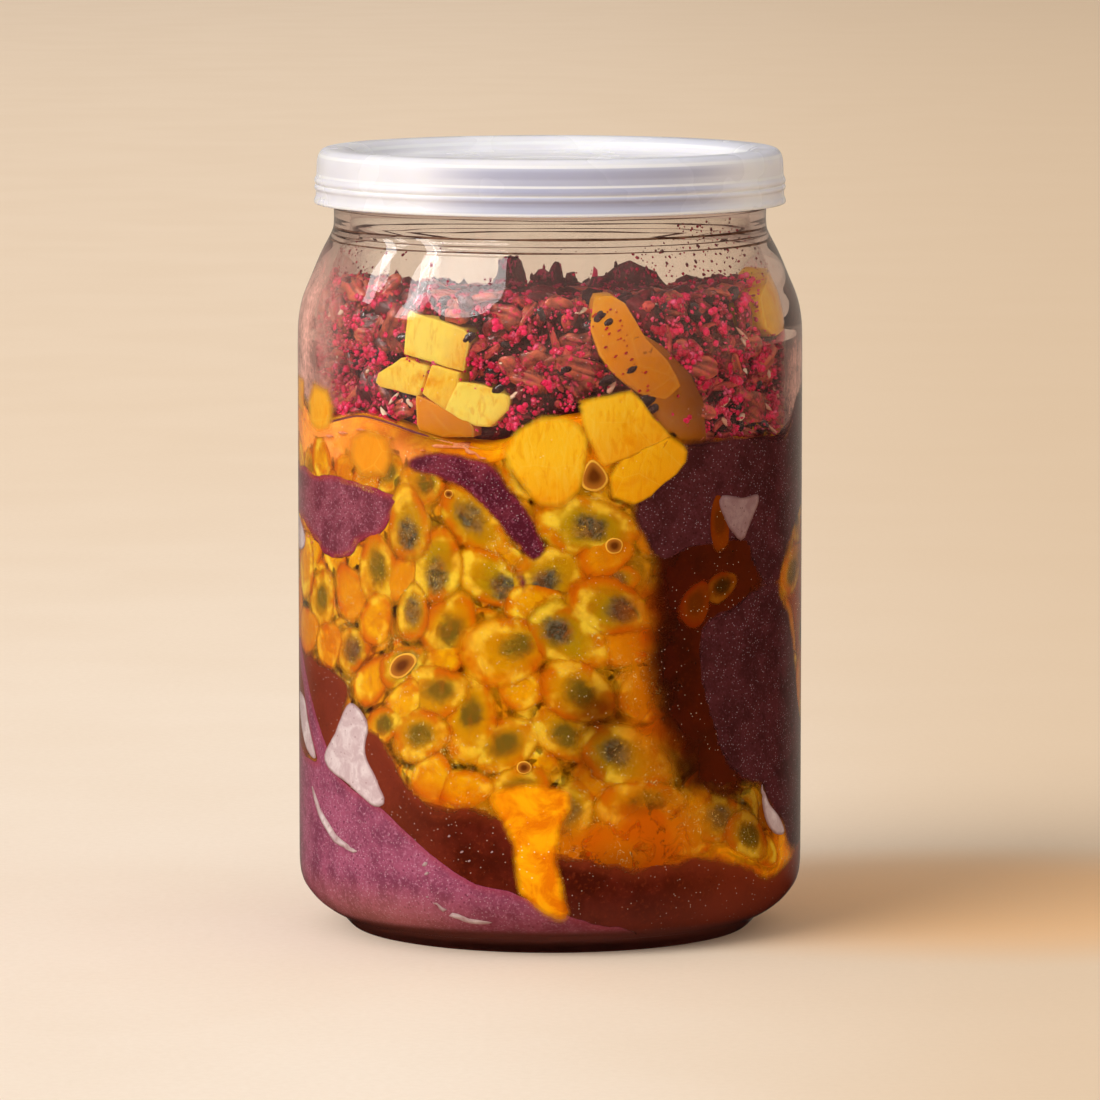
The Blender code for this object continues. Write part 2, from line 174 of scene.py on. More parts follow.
class Graph:
    """The node graph of one material, or of the world, while it is drawn."""

    def __init__(self, name: str, world: bool = False) -> None:
        """Starts an empty graph.

        Args:
            name: The material's or the world's name.
            world: Whether it is a world, whose places are directions.
        """
        kind = bpy.data.worlds if world else bpy.data.materials
        self.owner = kind.new(name)
        self.owner.use_nodes = True
        tree = self.owner.node_tree
        tree.nodes.clear()
        self.node: Callable[..., bpy.types.Node] = functools.partial(add_node, tree)
        self.output = "ShaderNodeOutputWorld" if world else "ShaderNodeOutputMaterial"
        coordinates = self.node("ShaderNodeTexCoord").outputs
        self.places = Value(self, coordinates["Generated" if world else "Object"])

    def math(self, operation: str, first: Input, second: Input) -> Value:
        """Adds a Math node.

        Args:
            operation: What it does.
            first: Its first value.
            second: Its second value.

        Returns:
            The result.
        """
        made = self.node("ShaderNodeMath", {"operation": operation}, {0: first, 1: second})
        return Value(self, made.outputs[0])

    def mark(self, name: str) -> Value:
        """Reads a number marked on the mesh's points."""
        made = self.node("ShaderNodeAttribute", {"attribute_name": name})
        return Value(self, made.outputs["Fac"])

    def stretched(self, ways: Sequence[float], turn: Sequence[float] = (0, 0, 0)) -> Value:
        """Object coordinates, stretched and turned.

        Args:
            ways: Scale of the pattern's frequency along x, y and z.
            turn: Turn about x, y and z in degrees.

        Returns:
            The coordinates.
        """
        made = self.node(
            "ShaderNodeMapping",
            None,
            {
                "Vector": self.places,
                "Scale": tuple(ways),
                "Rotation": tuple(math.radians(angle) for angle in turn),
            },
        )
        return Value(self, made.outputs[0])

    def noise(
        self,
        size: float,
        detail: float = 2.0,
        roughness: float = 0.5,
        warp: float = 0.0,
        places: Value | None = None,
    ) -> Value:
        """Cloudy noise, from about 0.3 to 0.7.

        Args:
            size: Size of a lump.
            detail: Octaves beyond the first.
            roughness: Strength of the finer octaves.
            warp: How far the pattern is bent by itself.
            places: Coordinates, if not the object's own.

        Returns:
            The noise.
        """
        made = self.node(
            "ShaderNodeTexNoise",
            None,
            {
                "Vector": places or self.places,
                "Scale": 1 / (size * MM),
                "Detail": detail,
                "Roughness": roughness,
                "Distortion": warp,
            },
        )
        return Value(self, made.outputs["Fac"])

    def cells(self, size: float, kind: str = "F1", places: Value | None = None) -> Value:
        """Distance to the nearest of scattered points, in cells.

        Args:
            size: Spacing of the points.
            kind: Which distance is measured.
            places: Coordinates, if not the object's own.

        Returns:
            The distance.
        """
        made = self.node(
            "ShaderNodeTexVoronoi",
            {"feature": kind},
            {"Vector": places or self.places, "Scale": 1 / (size * MM)},
        )
        return Value(self, made.outputs["Distance"])

    def step(self, given: Value, low: float, high: float) -> Value:
        """Soft step of a value.

        Args:
            given: The value.
            low: Where the step starts at 0.
            high: Where it reaches 1, which may be below low.

        Returns:
            The step.
        """
        made = self.node(
            "ShaderNodeMapRange",
            {"interpolation_type": "SMOOTHSTEP"},
            {"Value": given, "From Min": low, "From Max": high},
        )
        return Value(self, made.outputs[0])

    def specks(self, spacing: float, radius: float, share: float) -> Value:
        """Small round specks, in some of the cells of a scatter.

        Args:
            spacing: Spacing of the scatter.
            radius: Radius of a speck, in spacings.
            share: Share of the surface, in broad patches, that has specks.

        Returns:
            1 on a speck, 0 off it.
        """
        near = self.step(self.cells(spacing), radius, radius * 0.6)
        patches = self.step(self.noise(spacing * 5), 0.62 - share * 0.3, 0.7 - share * 0.3)
        return near * patches

    def mix(self, share: Input, first: Input, second: Input, how: str = "MIX") -> Value:
        """Mixes two colours.

        Args:
            share: Share of the second colour.
            first: The first colour.
            second: The second colour.
            how: The way they mix.

        Returns:
            The colour.
        """
        made = self.node(
            "ShaderNodeMix",
            {"data_type": "RGBA", "blend_type": how},
            {0: share, 6: first, 7: second},
        )
        return Value(self, made.outputs[2])

    def coats(self, colour: Input, *coats: tuple[Input, ...]) -> Value:
        """Lays coats of colour one over another.

        Args:
            colour: The colour underneath.
            *coats: The share and the colour of each coat, and the way it mixes if it is not plain.

        Returns:
            The colour.
        """
        for share, *coat in coats:
            colour = self.mix(share, colour, *coat)
        return colour

    def relief(self, height: Value, depth: float, strength: float = 1.0) -> Value:
        """Bumps.

        Args:
            height: Height from 0 to 1.
            depth: Depth of the bumps.
            strength: How strongly they show.

        Returns:
            The bent normal.
        """
        made = self.node(
            "ShaderNodeBump",
            None,
            {"Height": height, "Distance": depth * MM, "Strength": strength},
        )
        return Value(self, made.outputs[0])

    def principled(self, **inputs: Input) -> Value:
        """A Principled shader.

        Args:
            **inputs: Its sockets, with underscores for spaces.

        Returns:
            The shader.
        """
        named = {name.replace("_", " "): given for name, given in inputs.items()}
        made = self.node("ShaderNodeBsdfPrincipled", None, named)
        return Value(self, made.outputs[0])

    def split(self, given: Value) -> list[Value]:
        """The x, y and z of a vector."""
        made = self.node("ShaderNodeSeparateXYZ", None, {0: given})
        return [Value(self, socket) for socket in made.outputs]

    def finished(self, shader: Value) -> bpy.types.ID:
        """Sends a shader to the output.

        Args:
            shader: The shader.

        Returns:
            The material or the world.
        """
        self.node(self.output, None, {"Surface": shader})
        return self.owner


def let_lamps_through(graph: Graph, shader: Value, clear: Rgb) -> Value:
    """Lets light from lamps and from what stands round pass a clear wall unbent.

    Args:
        graph: The material's graph.
        shader: The wall's shader.
        clear: What share of the light passes.

    Returns:
        The mixed shader.
    """
    path = graph.node("ShaderNodeLightPath")
    lamp = Value(graph, path.outputs["Is Shadow Ray"])
    round_about = Value(graph, path.outputs["Is Diffuse Ray"])
    passing = graph.node("ShaderNodeBsdfTransparent", None, {"Color": clear})
    made = graph.node(
        "ShaderNodeMixShader",
        None,
        {0: lamp | round_about, 1: shader, 2: Value(graph, passing.outputs[0])},
    )
    return Value(graph, made.outputs[0])


def shaded_heel(graph: Graph, colour: Value) -> Value:
    """Paints shade on the filling towards the floor of the jar and on its underside, lighter on
    the left, where the light falls.

    Args:
        graph: The material's graph.
        colour: The filling's colour.

    Returns:
        The colour.
    """
    across, _, up = graph.split(graph.places)
    # Painted shade, lighter on the left, where the light falls.
    heel = graph.mix(graph.step(across, -8 * MM, -26 * MM), rgb(118, 58, 46), rgb(190, 122, 104))
    colour = graph.mix(graph.step(up, 12 * MM, 5.2 * MM) * 0.45, colour, heel)
    # Painted shade on the underside.
    return graph.mix(graph.step(up, 5.6 * MM, 4.8 * MM), colour, rgb(104, 54, 46))


# Finishes


@dataclass(frozen=True)
class ClearGlass:
    """Clear container glass, a little grey-green in its depth."""

    name: str = "clear glass"
    tint: Rgb = (0.975, 0.956, 0.944)
    clear: Rgb = (0.95, 0.95, 0.94)
    bend: float = 1.5

    def make(self) -> bpy.types.Material:
        """Draws the material.

        Returns:
            The material.
        """
        graph = Graph(self.name)
        ripple = graph.noise(16, detail=1)
        glass = graph.principled(
            Base_Color=self.tint,
            Roughness=0.0,
            IOR=self.bend,
            Transmission_Weight=1.0,
            Normal=graph.relief(ripple, 0.05, 0.25),
        )
        return graph.finished(let_lamps_through(graph, glass, self.clear))


@dataclass(frozen=True)
class MilkyPlastic:
    """Thin translucent lid plastic, with painted shade: lavender across the middle of the skirt,
    where it is thin, and painted white highlights along its ridge lines.
    """

    name: str = "milky plastic"
    body: Rgb = rgb(240, 237, 240)
    thick: Rgb = rgb(249, 247, 248)
    # The lavender and grey of painted shade, for the middle of the skirt, its grooves there, its
    # left and its top right.
    thin: Rgb = rgb(196, 198, 216)
    groove_shade: Rgb = rgb(180, 180, 200)
    cool_shade: Rgb = rgb(212, 214, 226)
    clear: Rgb = rgb(240, 238, 245)
    see_through: float = 0.14
    lamp_through: float = 0.6
    # Heights and half widths of painted white highlight lines, then of bands of painted shade in
    # the grooves.
    ridge_highlights: tuple[tuple[float, float], ...] = (
        (125.9, 0.34), (122.75, 0.26), (121.25, 0.24), (118.25, 0.4),
    )
    valley_shades: tuple[tuple[float, float], ...] = ((124.6, 0.9), (122.05, 0.45), (120.2, 0.8))

    def make(self) -> bpy.types.Material:
        """Draws the material.

        Returns:
            The material.
        """
        graph = Graph(self.name)
        across, along, up = graph.split(graph.places)
        cloud = graph.noise(14, detail=2)
        grain = graph.noise(0.5, detail=2)

        def bands(levels: Sequence[tuple[float, float]]) -> Value:
            """1 on bands at given levels, 0 off them.

            Args:
                levels: Height and half width of each band.

            Returns:
                The bands.
            """
            found: Value | None = None
            for level, half in levels:
                off = up - level * MM
                band = graph.step(off * off, (half * MM) ** 2, (0.3 * half * MM) ** 2)
                found = band if found is None else found | band
            return found

        # Painted shade: a lavender band across the middle of the skirt, below the rim.
        off = across - 6 * MM
        middle = graph.step(off * off, (27 * MM) ** 2, (6 * MM) ** 2)
        middle = middle * graph.step(up, 126.3 * MM, 125.6 * MM)
        out = across * across + along * along
        middle = middle * graph.step(out, (36.4 * MM) ** 2, (37.2 * MM) ** 2)
        colour = graph.mix(graph.step(cloud, 0.35, 0.65), self.body, self.thick)
        # Painted shade: a little greyer towards the left, and on the top at the right.
        colour = graph.mix(graph.step(across, 10 * MM, -34 * MM) * 0.25, colour, self.cool_shade)
        right_top_shade = graph.step(across, -6 * MM, 26 * MM) * graph.step(up, 125.9 * MM, 126.5 * MM)
        colour = graph.coats(
            colour,
            (right_top_shade * 0.7, self.cool_shade),
            (middle, self.thin),
            # Painted shade in the grooves, within the lavender band.
            (bands(self.valley_shades) * middle * 0.8, self.groove_shade),
            # Painted highlights: white lines at the heights listed above.
            (bands(self.ridge_highlights) * 0.8, (1.0, 1.0, 1.0)),
        )
        plastic = graph.principled(
            Base_Color=colour,
            Roughness=0.2 + 0.1 * graph.step(cloud, 0.3, 0.7),
            Subsurface_Weight=0.6,
            Subsurface_Radius=(3 * MM, 3 * MM, 3.6 * MM),
            Normal=graph.relief(grain, 0.02, 0.2),
        )
        passing = graph.node("ShaderNodeBsdfTransparent", None, {"Color": self.clear})
        path = graph.node("ShaderNodeLightPath")
        lamp = Value(graph, path.outputs["Is Shadow Ray"]) * self.lamp_through
        mixed = graph.node(
            "ShaderNodeMixShader",
            None,
            {0: lamp | self.see_through, 1: plastic, 2: Value(graph, passing.outputs[0])},
        )
        return graph.finished(Value(graph, mixed.outputs[0]))


@dataclass(frozen=True)
class FrozenAcai:
    """Frozen blended acai: mottled purple with fine frost, redder where a layer ends."""

    name: str
    body: Rgb
    deep: Rgb
    frost: Rgb
    edge: Rgb
    frosted: float = 0.5
    soft: float = 0.15

    def make(self) -> bpy.types.Material:
        """Draws the material.

        Returns:
            The material.
        """
        graph = Graph(self.name)
        mottle = graph.noise(5, detail=4, roughness=0.6)
        grain = graph.noise(0.55, detail=3, roughness=0.7)
        colour = graph.coats(
            self.deep,
            (graph.step(mottle, 0.36, 0.62), self.body),
            (graph.step(grain, 0.5, 0.68) * self.frosted, self.frost),
            (graph.specks(0.8, 0.28, 0.9), self.deep),
            (graph.specks(0.5, 0.24, 0.8) * (0.08 + 0.5 * self.frosted), (0.80, 0.60, 0.66)),
        )
        within = graph.mark("within")
        colour = graph.mix(graph.step(within, 1.6, 0.0) * 0.75, colour, self.edge)
        colour = shaded_heel(graph, colour)
        shader = graph.principled(
            Alpha=graph.step(within + 0.8 * self.soft * (mottle - 0.5), 0.0, self.soft),
            Base_Color=colour,
            Roughness=0.42 + 0.25 * graph.step(grain, 0.4, 0.6),
            Specular_IOR_Level=WET_GLOSS,
            Subsurface_Weight=0.08,
            Subsurface_Radius=(1.2 * MM, 0.5 * MM, 0.6 * MM),
            Normal=graph.relief(grain, 0.12, 0.6),
        )
        return graph.finished(shader)


@dataclass(frozen=True)
class DarkJuice:
    """Dark acai juice with fine fruit specks, redder where it thins, and paler towards both sides
    with painted light.
    """

    name: str = "dark juice"
    body: Rgb = rgb(94, 29, 16)
    deep: Rgb = rgb(70, 19, 8)
    thin: Rgb = rgb(138, 54, 26)
    halo: Rgb = rgb(176, 70, 10)
    soft: float = 2.6

    def make(self) -> bpy.types.Material:
        """Draws the material.

        Returns:
            The material.
        """
        graph = Graph(self.name)
        cloud = graph.noise(6, detail=4, roughness=0.6)
        grain = graph.noise(0.7, detail=3, roughness=0.6)
        colour = graph.mix(graph.step(cloud, 0.38, 0.62), self.deep, self.body)
        colour = graph.mix(graph.step(grain, 0.52, 0.75) * 0.4, colour, self.thin)
        within = graph.mark("within")
        across = graph.split(graph.places)[0]
        lit = graph.step(across, 12 * MM, 32 * MM) | graph.step(across, -12 * MM, -30 * MM)
        colour = graph.coats(
            colour,
            # Painted light: paler towards both sides.
            (lit * 0.55, self.thin),
            (graph.step(within, 4.2, 0.8) * 0.7, self.thin),
            (graph.step(within, 1.8, 0.4) * 0.8, self.halo),
            (graph.specks(0.7, 0.16, 0.9) * 0.6, self.deep),
            (graph.specks(0.8, 0.11, 0.8), (0.78, 0.6, 0.5)),
        )
        colour = shaded_heel(graph, colour)
        shader = graph.principled(
            Alpha=graph.step(within + 1.2 * self.soft * (cloud - 0.5), 0.0, self.soft),
            Base_Color=colour,
            Roughness=0.22,
            Specular_IOR_Level=WET_GLOSS,
            Subsurface_Weight=0.1,
            Subsurface_Radius=(1.5 * MM, 0.5 * MM, 0.3 * MM),
            Normal=graph.relief(grain, 0.05, 0.3),
        )
        return graph.finished(shader)


@dataclass(frozen=True)
class FruitPulp:
    """The jelly between the passion fruit sacs: amber, rosy or red by its marks, with painted
    shade, painted glints and a faint painted glow.
    """

    name: str = "passion pulp"
    gold: Rgb = rgb(250, 168, 8)
    amber: Rgb = rgb(224, 118, 2)
    rose: Rgb = rgb(254, 158, 82)
    dusk_shade: Rgb = rgb(116, 74, 60)
    red: Rgb = rgb(236, 150, 90)

    def make(self) -> bpy.types.Material:
        """Draws the material.

        Returns:
            The material.
        """
        graph = Graph(self.name)
        cloud = graph.noise(5.5, detail=4, roughness=0.6, warp=0.6)
        threads = graph.noise(1.4, detail=3, roughness=0.6, warp=1.2)
        colour = graph.coats(
            self.amber,
            (graph.step(cloud, 0.4, 0.62), self.gold),
            (graph.step(threads, 0.5, 0.72) * 0.4, self.gold),
            (graph.mark("rosy"), self.rose),
            (graph.mark("red"), self.red, "MULTIPLY"),
            # Painted shade where marked.
            (graph.mark("dusky"), self.dusk_shade, "MULTIPLY"),
            # Painted glints: small pale specks.
            (graph.specks(0.9, 0.14, 0.45), (0.95, 0.75, 0.4)),
        )
        shader = graph.principled(
            Base_Color=colour,
            Alpha=graph.step(graph.mark("within") + 1.2 * (cloud - 0.5), 0.1, 1.8),
            Roughness=0.25,
            Specular_IOR_Level=WET_GLOSS,
            Subsurface_Weight=0.2,
            Subsurface_Radius=(3 * MM, 1.4 * MM, 0.4 * MM),
            # Painted light: a faint glow keeps the gaps between the sacs amber rather than shaded.
            Emission_Color=colour,
            Emission_Strength=0.2,
            Normal=graph.relief(threads, 0.25, 0.5),
        )
        return graph.finished(shader)


@dataclass(frozen=True)
class SeedSac:
    """A passion fruit sac: golden jelly that fades at its rim, round a blurred dark seed, with
    painted highlights on its rim, seed and curls, and painted shade where marked.
    """

    name: str = "passion fruit sac"
    gold: Rgb = rgb(248, 172, 4)
    deep: Rgb = rgb(230, 138, 2)
    pale: Rgb = rgb(255, 216, 60)
    olive: Rgb = rgb(164, 134, 6)
    edge: Rgb = rgb(222, 112, 2)
    seed: Rgb = rgb(44, 42, 38)
    bloom: Rgb = rgb(84, 86, 76)
    core: Rgb = rgb(96, 82, 24)
    glint: Rgb = rgb(214, 206, 170)
    ember: Rgb = rgb(206, 92, 2)
    dusk_shade: Rgb = rgb(136, 94, 70)
    red: Rgb = rgb(244, 158, 90)

    def make(self) -> bpy.types.Material:
        """Draws the material.

        Returns:
            The material.
        """
        graph = Graph(self.name)
        cloud = graph.noise(2.8, detail=4, roughness=0.6, warp=0.8)
        broad = graph.noise(4.2, detail=2)
        curls = graph.noise(0.55, detail=4, roughness=0.7, warp=2.2)
        dark, tone = graph.mark("dark"), graph.mark("tone")
        rim = graph.mark("rim") + 0.2 * (cloud - 0.5)
        halo = graph.mark("seed") + 1.0 * (cloud - 0.5)
        mottle = graph.noise(1.1, detail=4, roughness=0.6, warp=1.4)
        colour = graph.mix(graph.step(cloud, 0.36, 0.64), self.deep, self.gold)
        colour = graph.mix(graph.step(halo, 4.0, 1.1) * (0.16 + 0.8 * dark), colour, self.olive)
        # Painted highlight: a pale band just inside the rim, where the membrane catches light.
        bright = graph.step(rim, 0.3, 0.48) * graph.step(rim, 0.72, 0.55)
        bright = bright * graph.step(broad, 0.44, 0.62) * graph.step(tone, 0.9, 0.3)
        colour = graph.mix(bright * 0.85, colour, self.pale)
        colour = graph.mix(tone * 0.7, colour, self.edge)
        ember = graph.step(broad, 0.58, 0.4) * graph.step(rim, 0.36, 0.66)
        colour = graph.mix(ember * 0.85, colour, self.ember)
        stone = graph.mix(graph.step(mottle, 0.42, 0.62), self.seed, self.bloom)
        # Painted glints on the seed.
        stone = graph.mix(graph.step(curls, 0.64, 0.7) * 0.35, stone, self.glint)
        stone = graph.mix(graph.step(dark, 0.6, 0.85), self.core, stone)
        colour = graph.coats(
            colour,
            (graph.step(halo, 1.45, 0.55) * graph.step(dark, 0.1, 0.6) * 0.92, stone),
            # Painted highlights: pale curls.
            (graph.step(curls, 0.6, 0.66) * graph.step(broad, 0.4, 0.6) * 0.7, self.pale),
            (graph.step(curls, 0.41, 0.34) * 0.35, self.ember),
            (graph.mark("red"), self.red, "MULTIPLY"),
            # Painted shade where marked.
            (graph.mark("dusky"), self.dusk_shade, "MULTIPLY"),
            # Painted glints: small pale specks.
            (graph.specks(0.8, 0.13, 0.6) * 0.8, (1.0, 0.88, 0.55)),
        )
        shader = graph.principled(
            Base_Color=colour,
            Alpha=graph.step(rim, 0.82, 0.6),
            Roughness=0.2,
            Specular_IOR_Level=WET_GLOSS,
            Subsurface_Weight=0.15,
            Subsurface_Radius=(2 * MM, 1.2 * MM, 0.4 * MM),
            Normal=graph.relief(curls, 0.12, 0.4),
        )
        return graph.finished(shader)


@dataclass(frozen=True)
class JellyVeil:
    """Thin jelly over the sacs: amber clouds, with painted highlights as fine pale curls where it
    catches light, and painted shade where marked.
    """

    name: str = "jelly veil"
    amber: Rgb = rgb(252, 172, 8)
    ember: Rgb = rgb(224, 104, 2)
    glint: Rgb = rgb(255, 236, 150)
    dusk_shade: Rgb = rgb(136, 94, 70)
    cover: float = 0.24

    def make(self) -> bpy.types.Material:
        """Draws the material.

        Returns:
            The material.
        """
        graph = Graph(self.name)
        cloud = graph.noise(3.4, detail=3, roughness=0.6, warp=0.8)
        broad = graph.noise(8, detail=2)
        curls = graph.noise(0.9, detail=5, roughness=0.7, warp=2.4)
        red = graph.mark("red")
        colour = graph.mix(graph.step(broad, 0.36, 0.54) * (1.0 - red), self.ember, self.amber)
        # Painted highlights: fine pale curls.
        curl = graph.step(curls, 0.6, 0.64) * graph.step(broad, 0.44, 0.6)
        colour = graph.mix(curl, colour, self.glint)
        # Painted shade where marked.
        colour = graph.mix(graph.mark("dusky"), colour, self.dusk_shade, "MULTIPLY")
        cover = graph.step(cloud, 0.4, 0.68) * self.cover | red * graph.step(cloud, 0.3, 0.5)
        cover = cover | curl * 0.6
        shader = graph.principled(
            Base_Color=colour,
            Alpha=cover * graph.step(graph.mark("within"), 0.2, 3.0),
            Roughness=0.2,
            Specular_IOR_Level=WET_GLOSS,
        )
        return graph.finished(shader)


@dataclass(frozen=True)
class RipeMango:
    """Mango flesh: moist, with fine fibres; orange where riper and where painted shade deepens
    down a piece, with painted highlight lines along its edges, brown where it lies in shade.
    """

    name: str = "ripe mango"
    flesh: Rgb = rgb(252, 184, 4)
    pale: Rgb = rgb(255, 226, 96)
    ripe: Rgb = rgb(232, 134, 4)
    shade: Rgb = rgb(112, 50, 4)

    def make(self) -> bpy.types.Material:
        """Draws the material.

        Returns:
            The material.
        """
        graph = Graph(self.name)
        cloud = graph.noise(5, detail=3, warp=0.6)
        bent = graph.stretched((1, 1, 0.3), (0, 34, 0))
        fibres = graph.noise(0.8, detail=4, warp=0.8, places=bent)
        facets = graph.cells(6.2, "DISTANCE_TO_EDGE", graph.stretched((1, 0.6, 1), (20, 30, 0)))
        pale, ripe = graph.mark("pale"), graph.mark("ripe")
        colour = graph.coats(
            self.flesh,
            (graph.step(cloud, 0.22, 0.55) * pale, self.pale),
            (graph.step(fibres, 0.5, 0.68) * (0.08 + 0.75 * pale), self.pale),
            (graph.step(fibres, 0.46, 0.34) * 0.35, self.ripe),
            # Marked orange: riper flesh, and painted shade that deepens across and down a piece.
            (ripe, self.ripe),
            (graph.step(cloud, 0.46, 0.3) * 0.45, self.ripe),
            (graph.step(facets, 0.025, 0.005) * 0.1, self.pale),
        )
        edge = graph.mark("edge")
        colour = graph.coats(
            colour,
            # Painted highlights: pale lines along the edges.
            (graph.step(edge, 0.5, 0.95) * (0.1 + 0.8 * pale), self.pale),
            (graph.mark("shade"), self.shade),
            (graph.specks(1.3, 0.08, 0.5) * 0.7, (1.0, 0.9, 0.6)),
        )
        rim, blend = graph.mark("rim") + 0.12 * (cloud - 0.5), graph.mark("blend")
        shader = graph.principled(
            Base_Color=colour,
            Alpha=1.0 - graph.step(blend, 0.0, 0.4) * graph.step(rim, 1.1 - 0.6 * blend, 0.97),
            Roughness=0.28,
            Specular_IOR_Level=WET_GLOSS,
            Subsurface_Weight=0.2,
            Subsurface_Radius=(3 * MM, 1.6 * MM, 0.4 * MM),
            Normal=graph.relief(fibres, 0.12, 0.4),
        )
        return graph.finished(shader)


@dataclass(frozen=True)
class DryBit:
    """Dry topping: a skin colour with painted shade in its hollows, dusted with berry powder, and
    with painted glints.
    """

    name: str
    skin: Rgb
    dark: Rgb
    dust: Rgb = rgb(196, 26, 72)
    dusted: float = 0.3
    roughness: float = 0.55
    gloss: float = 0.25
    grain: float = 0.9

    def make(self) -> bpy.types.Material:
        """Draws the material.

        Returns:
            The material.
        """
        graph = Graph(self.name)
        cloud = graph.noise(2.2, detail=4, roughness=0.65)
        grain = graph.noise(self.grain, detail=3, roughness=0.6)
        tone = cloud + 0.5 * (graph.mark("kind") - 0.5)
        colour = graph.mix(graph.step(tone, 0.25, 0.68), self.dark, self.skin)
        colour = graph.mix(graph.step(grain, 0.42, 0.3) * 0.5, colour, self.dark)
        low = 0.64 - 0.3 * self.dusted
        powder = graph.step(graph.noise(1.5, detail=5, roughness=0.75), low, low + 0.09)
        colour = graph.coats(
            colour,
            (powder * 0.85, self.dust),
            # Painted shade in hollows, underneath and between drupelets.
            (graph.mark("hollow") * 0.85, self.dark),
            # Painted glints: small pale specks.
            (graph.specks(1.3, 0.09, 0.4), (0.95, 0.8, 0.8)),
        )
        shader = graph.principled(
            Base_Color=colour,
            Roughness=self.roughness,
            Specular_IOR_Level=self.gloss,
            Normal=graph.relief(grain, 0.2, 0.6),
        )
        return graph.finished(shader)


@dataclass(frozen=True)
class Glaze:
    """A plain wet or pale finish with fine mottling, for pockets, foam, bubbles and drops."""

    name: str
    body: Rgb
    other: Rgb
    rim: Rgb = rgb(150, 104, 100)
    roughness: float = 0.3
    streak: float = 1.5
    pitted: float = 0.0

    def make(self) -> bpy.types.Material:
        """Draws the material.

        Returns:
            The material.
        """
        graph = Graph(self.name)
        streaks = graph.noise(self.streak, detail=4, roughness=0.65, warp=0.6)
        colour = graph.coats(
            self.body,
            (graph.step(streaks, 0.4, 0.66), self.other),
            (graph.step(graph.mark("within"), 0.5, 0.0) * 0.6, self.rim),
            (graph.specks(0.9, 0.2, 0.6) * self.pitted, self.rim),
            (graph.mark("shade"), self.rim, "MULTIPLY"),
        )
        shader = graph.principled(
            Base_Color=colour,
            Roughness=self.roughness,
            Specular_IOR_Level=WET_GLOSS,
            Normal=graph.relief(streaks, 0.1, 0.4),
        )
        return graph.finished(shader)


@dataclass(frozen=True)
class BubbleSkin:
    """An air bubble against the glass: brown within, with a thin bright rim of painted highlight.
    """

    name: str = "bubble"
    within: Rgb = rgb(104, 50, 10)
    light: Rgb = rgb(176, 104, 30)
    rim: Rgb = rgb(240, 176, 60)

    def make(self) -> bpy.types.Material:
        """Draws the material.

        Returns:
            The material.
        """
        graph = Graph(self.name)
        rim = graph.mark("rim")
        colour = graph.mix(graph.step(rim, 0.2, 0.75), self.within, self.light)
        # Painted highlight: the thin bright rim.
        colour = graph.mix(graph.step(rim, 0.72, 0.82), colour, self.rim)
        shader = graph.principled(Base_Color=colour, Roughness=0.12, Specular_IOR_Level=WET_GLOSS)
        return graph.finished(shader)


@dataclass(frozen=True)
class DustyFilm:
    """A thin film of mist and berry dust on the glass, mostly clear; denser at the sides, where it
    is partly dust and partly painted haze of the glass seen at a slant, with painted shade where
    marked.
    """

    name: str = "dusty film"
    dust: Rgb = rgb(232, 176, 166)
    side: Rgb = rgb(255, 196, 180)
    shade: Rgb = rgb(104, 66, 50)
    cover: float = 0.03

    def make(self) -> bpy.types.Material:
        """Draws the material.

        Returns:
            The material.
        """
        graph = Graph(self.name)
        cloud = graph.noise(5, detail=5, roughness=0.7)
        fine = graph.noise(0.9, detail=3, roughness=0.7)
        patches = graph.step(cloud, 0.3, 0.66) * (0.6 + 0.6 * graph.step(fine, 0.4, 0.62))
        shade, side = graph.mark("shade"), graph.mark("side")
        # Painted shade where marked; at the sides, dust and painted haze.
        cover = self.cover * (0.4 + patches) + 0.2 * shade + 0.58 * side * (0.4 + patches)
        colour = graph.mix(side, self.dust, self.side)
        film = graph.principled(
            Base_Color=graph.mix(shade, colour, self.shade),
            Roughness=0.6,
            Specular_IOR_Level=WET_GLOSS,
            Alpha=cover * graph.step(graph.mark("within"), 0.0, 2.5),
        )
        return graph.finished(film)


# Meshes


def lumps(points: np.ndarray, size: float, seed: int = 0) -> np.ndarray:
    """Smooth noise between -1 and 1.

    Args:
        points: Places, one per row.
        size: Size of a lump.
        seed: Which noise.

    Returns:
        One number per point.
    """
    spread = points / size + 31.7 * seed
    cell = np.floor(spread)
    part = spread - cell
    ease = part * part * (3 - 2 * part)
    total = np.zeros(len(points))
    for corner in itertools.product((0, 1), repeat=3):
        wave = np.sin((cell + corner) @ np.array((12.9898, 78.233, 37.719))) * 43758.5453
        weight = np.prod(np.where(corner, ease, 1 - ease), axis=1)
        total += weight * (wave - np.floor(wave))
    return 2 * total - 1


def around(azimuth: np.ndarray, height: np.ndarray, radius: np.ndarray) -> np.ndarray:
    """Points at given azimuths, heights and radii about the jar's axis.

    Args:
        azimuth: The azimuths.
        height: The heights.
        radius: The radii.

    Returns:
        The points, one per row.
    """
    angle = np.radians(azimuth)
    return np.stack(
        np.broadcast_arrays(radius * np.sin(angle), -radius * np.cos(angle), height), -1
    )


def polar(points: np.ndarray) -> tuple[np.ndarray, np.ndarray, np.ndarray]:
    """Azimuths, heights and radii of points.

    Args:
        points: The points, one per row.

    Returns:
        Azimuths, heights and radii.
    """
    azimuth = np.degrees(np.arctan2(points[:, 0], -points[:, 1]))
    return azimuth, points[:, 2], np.hypot(points[:, 0], points[:, 1])


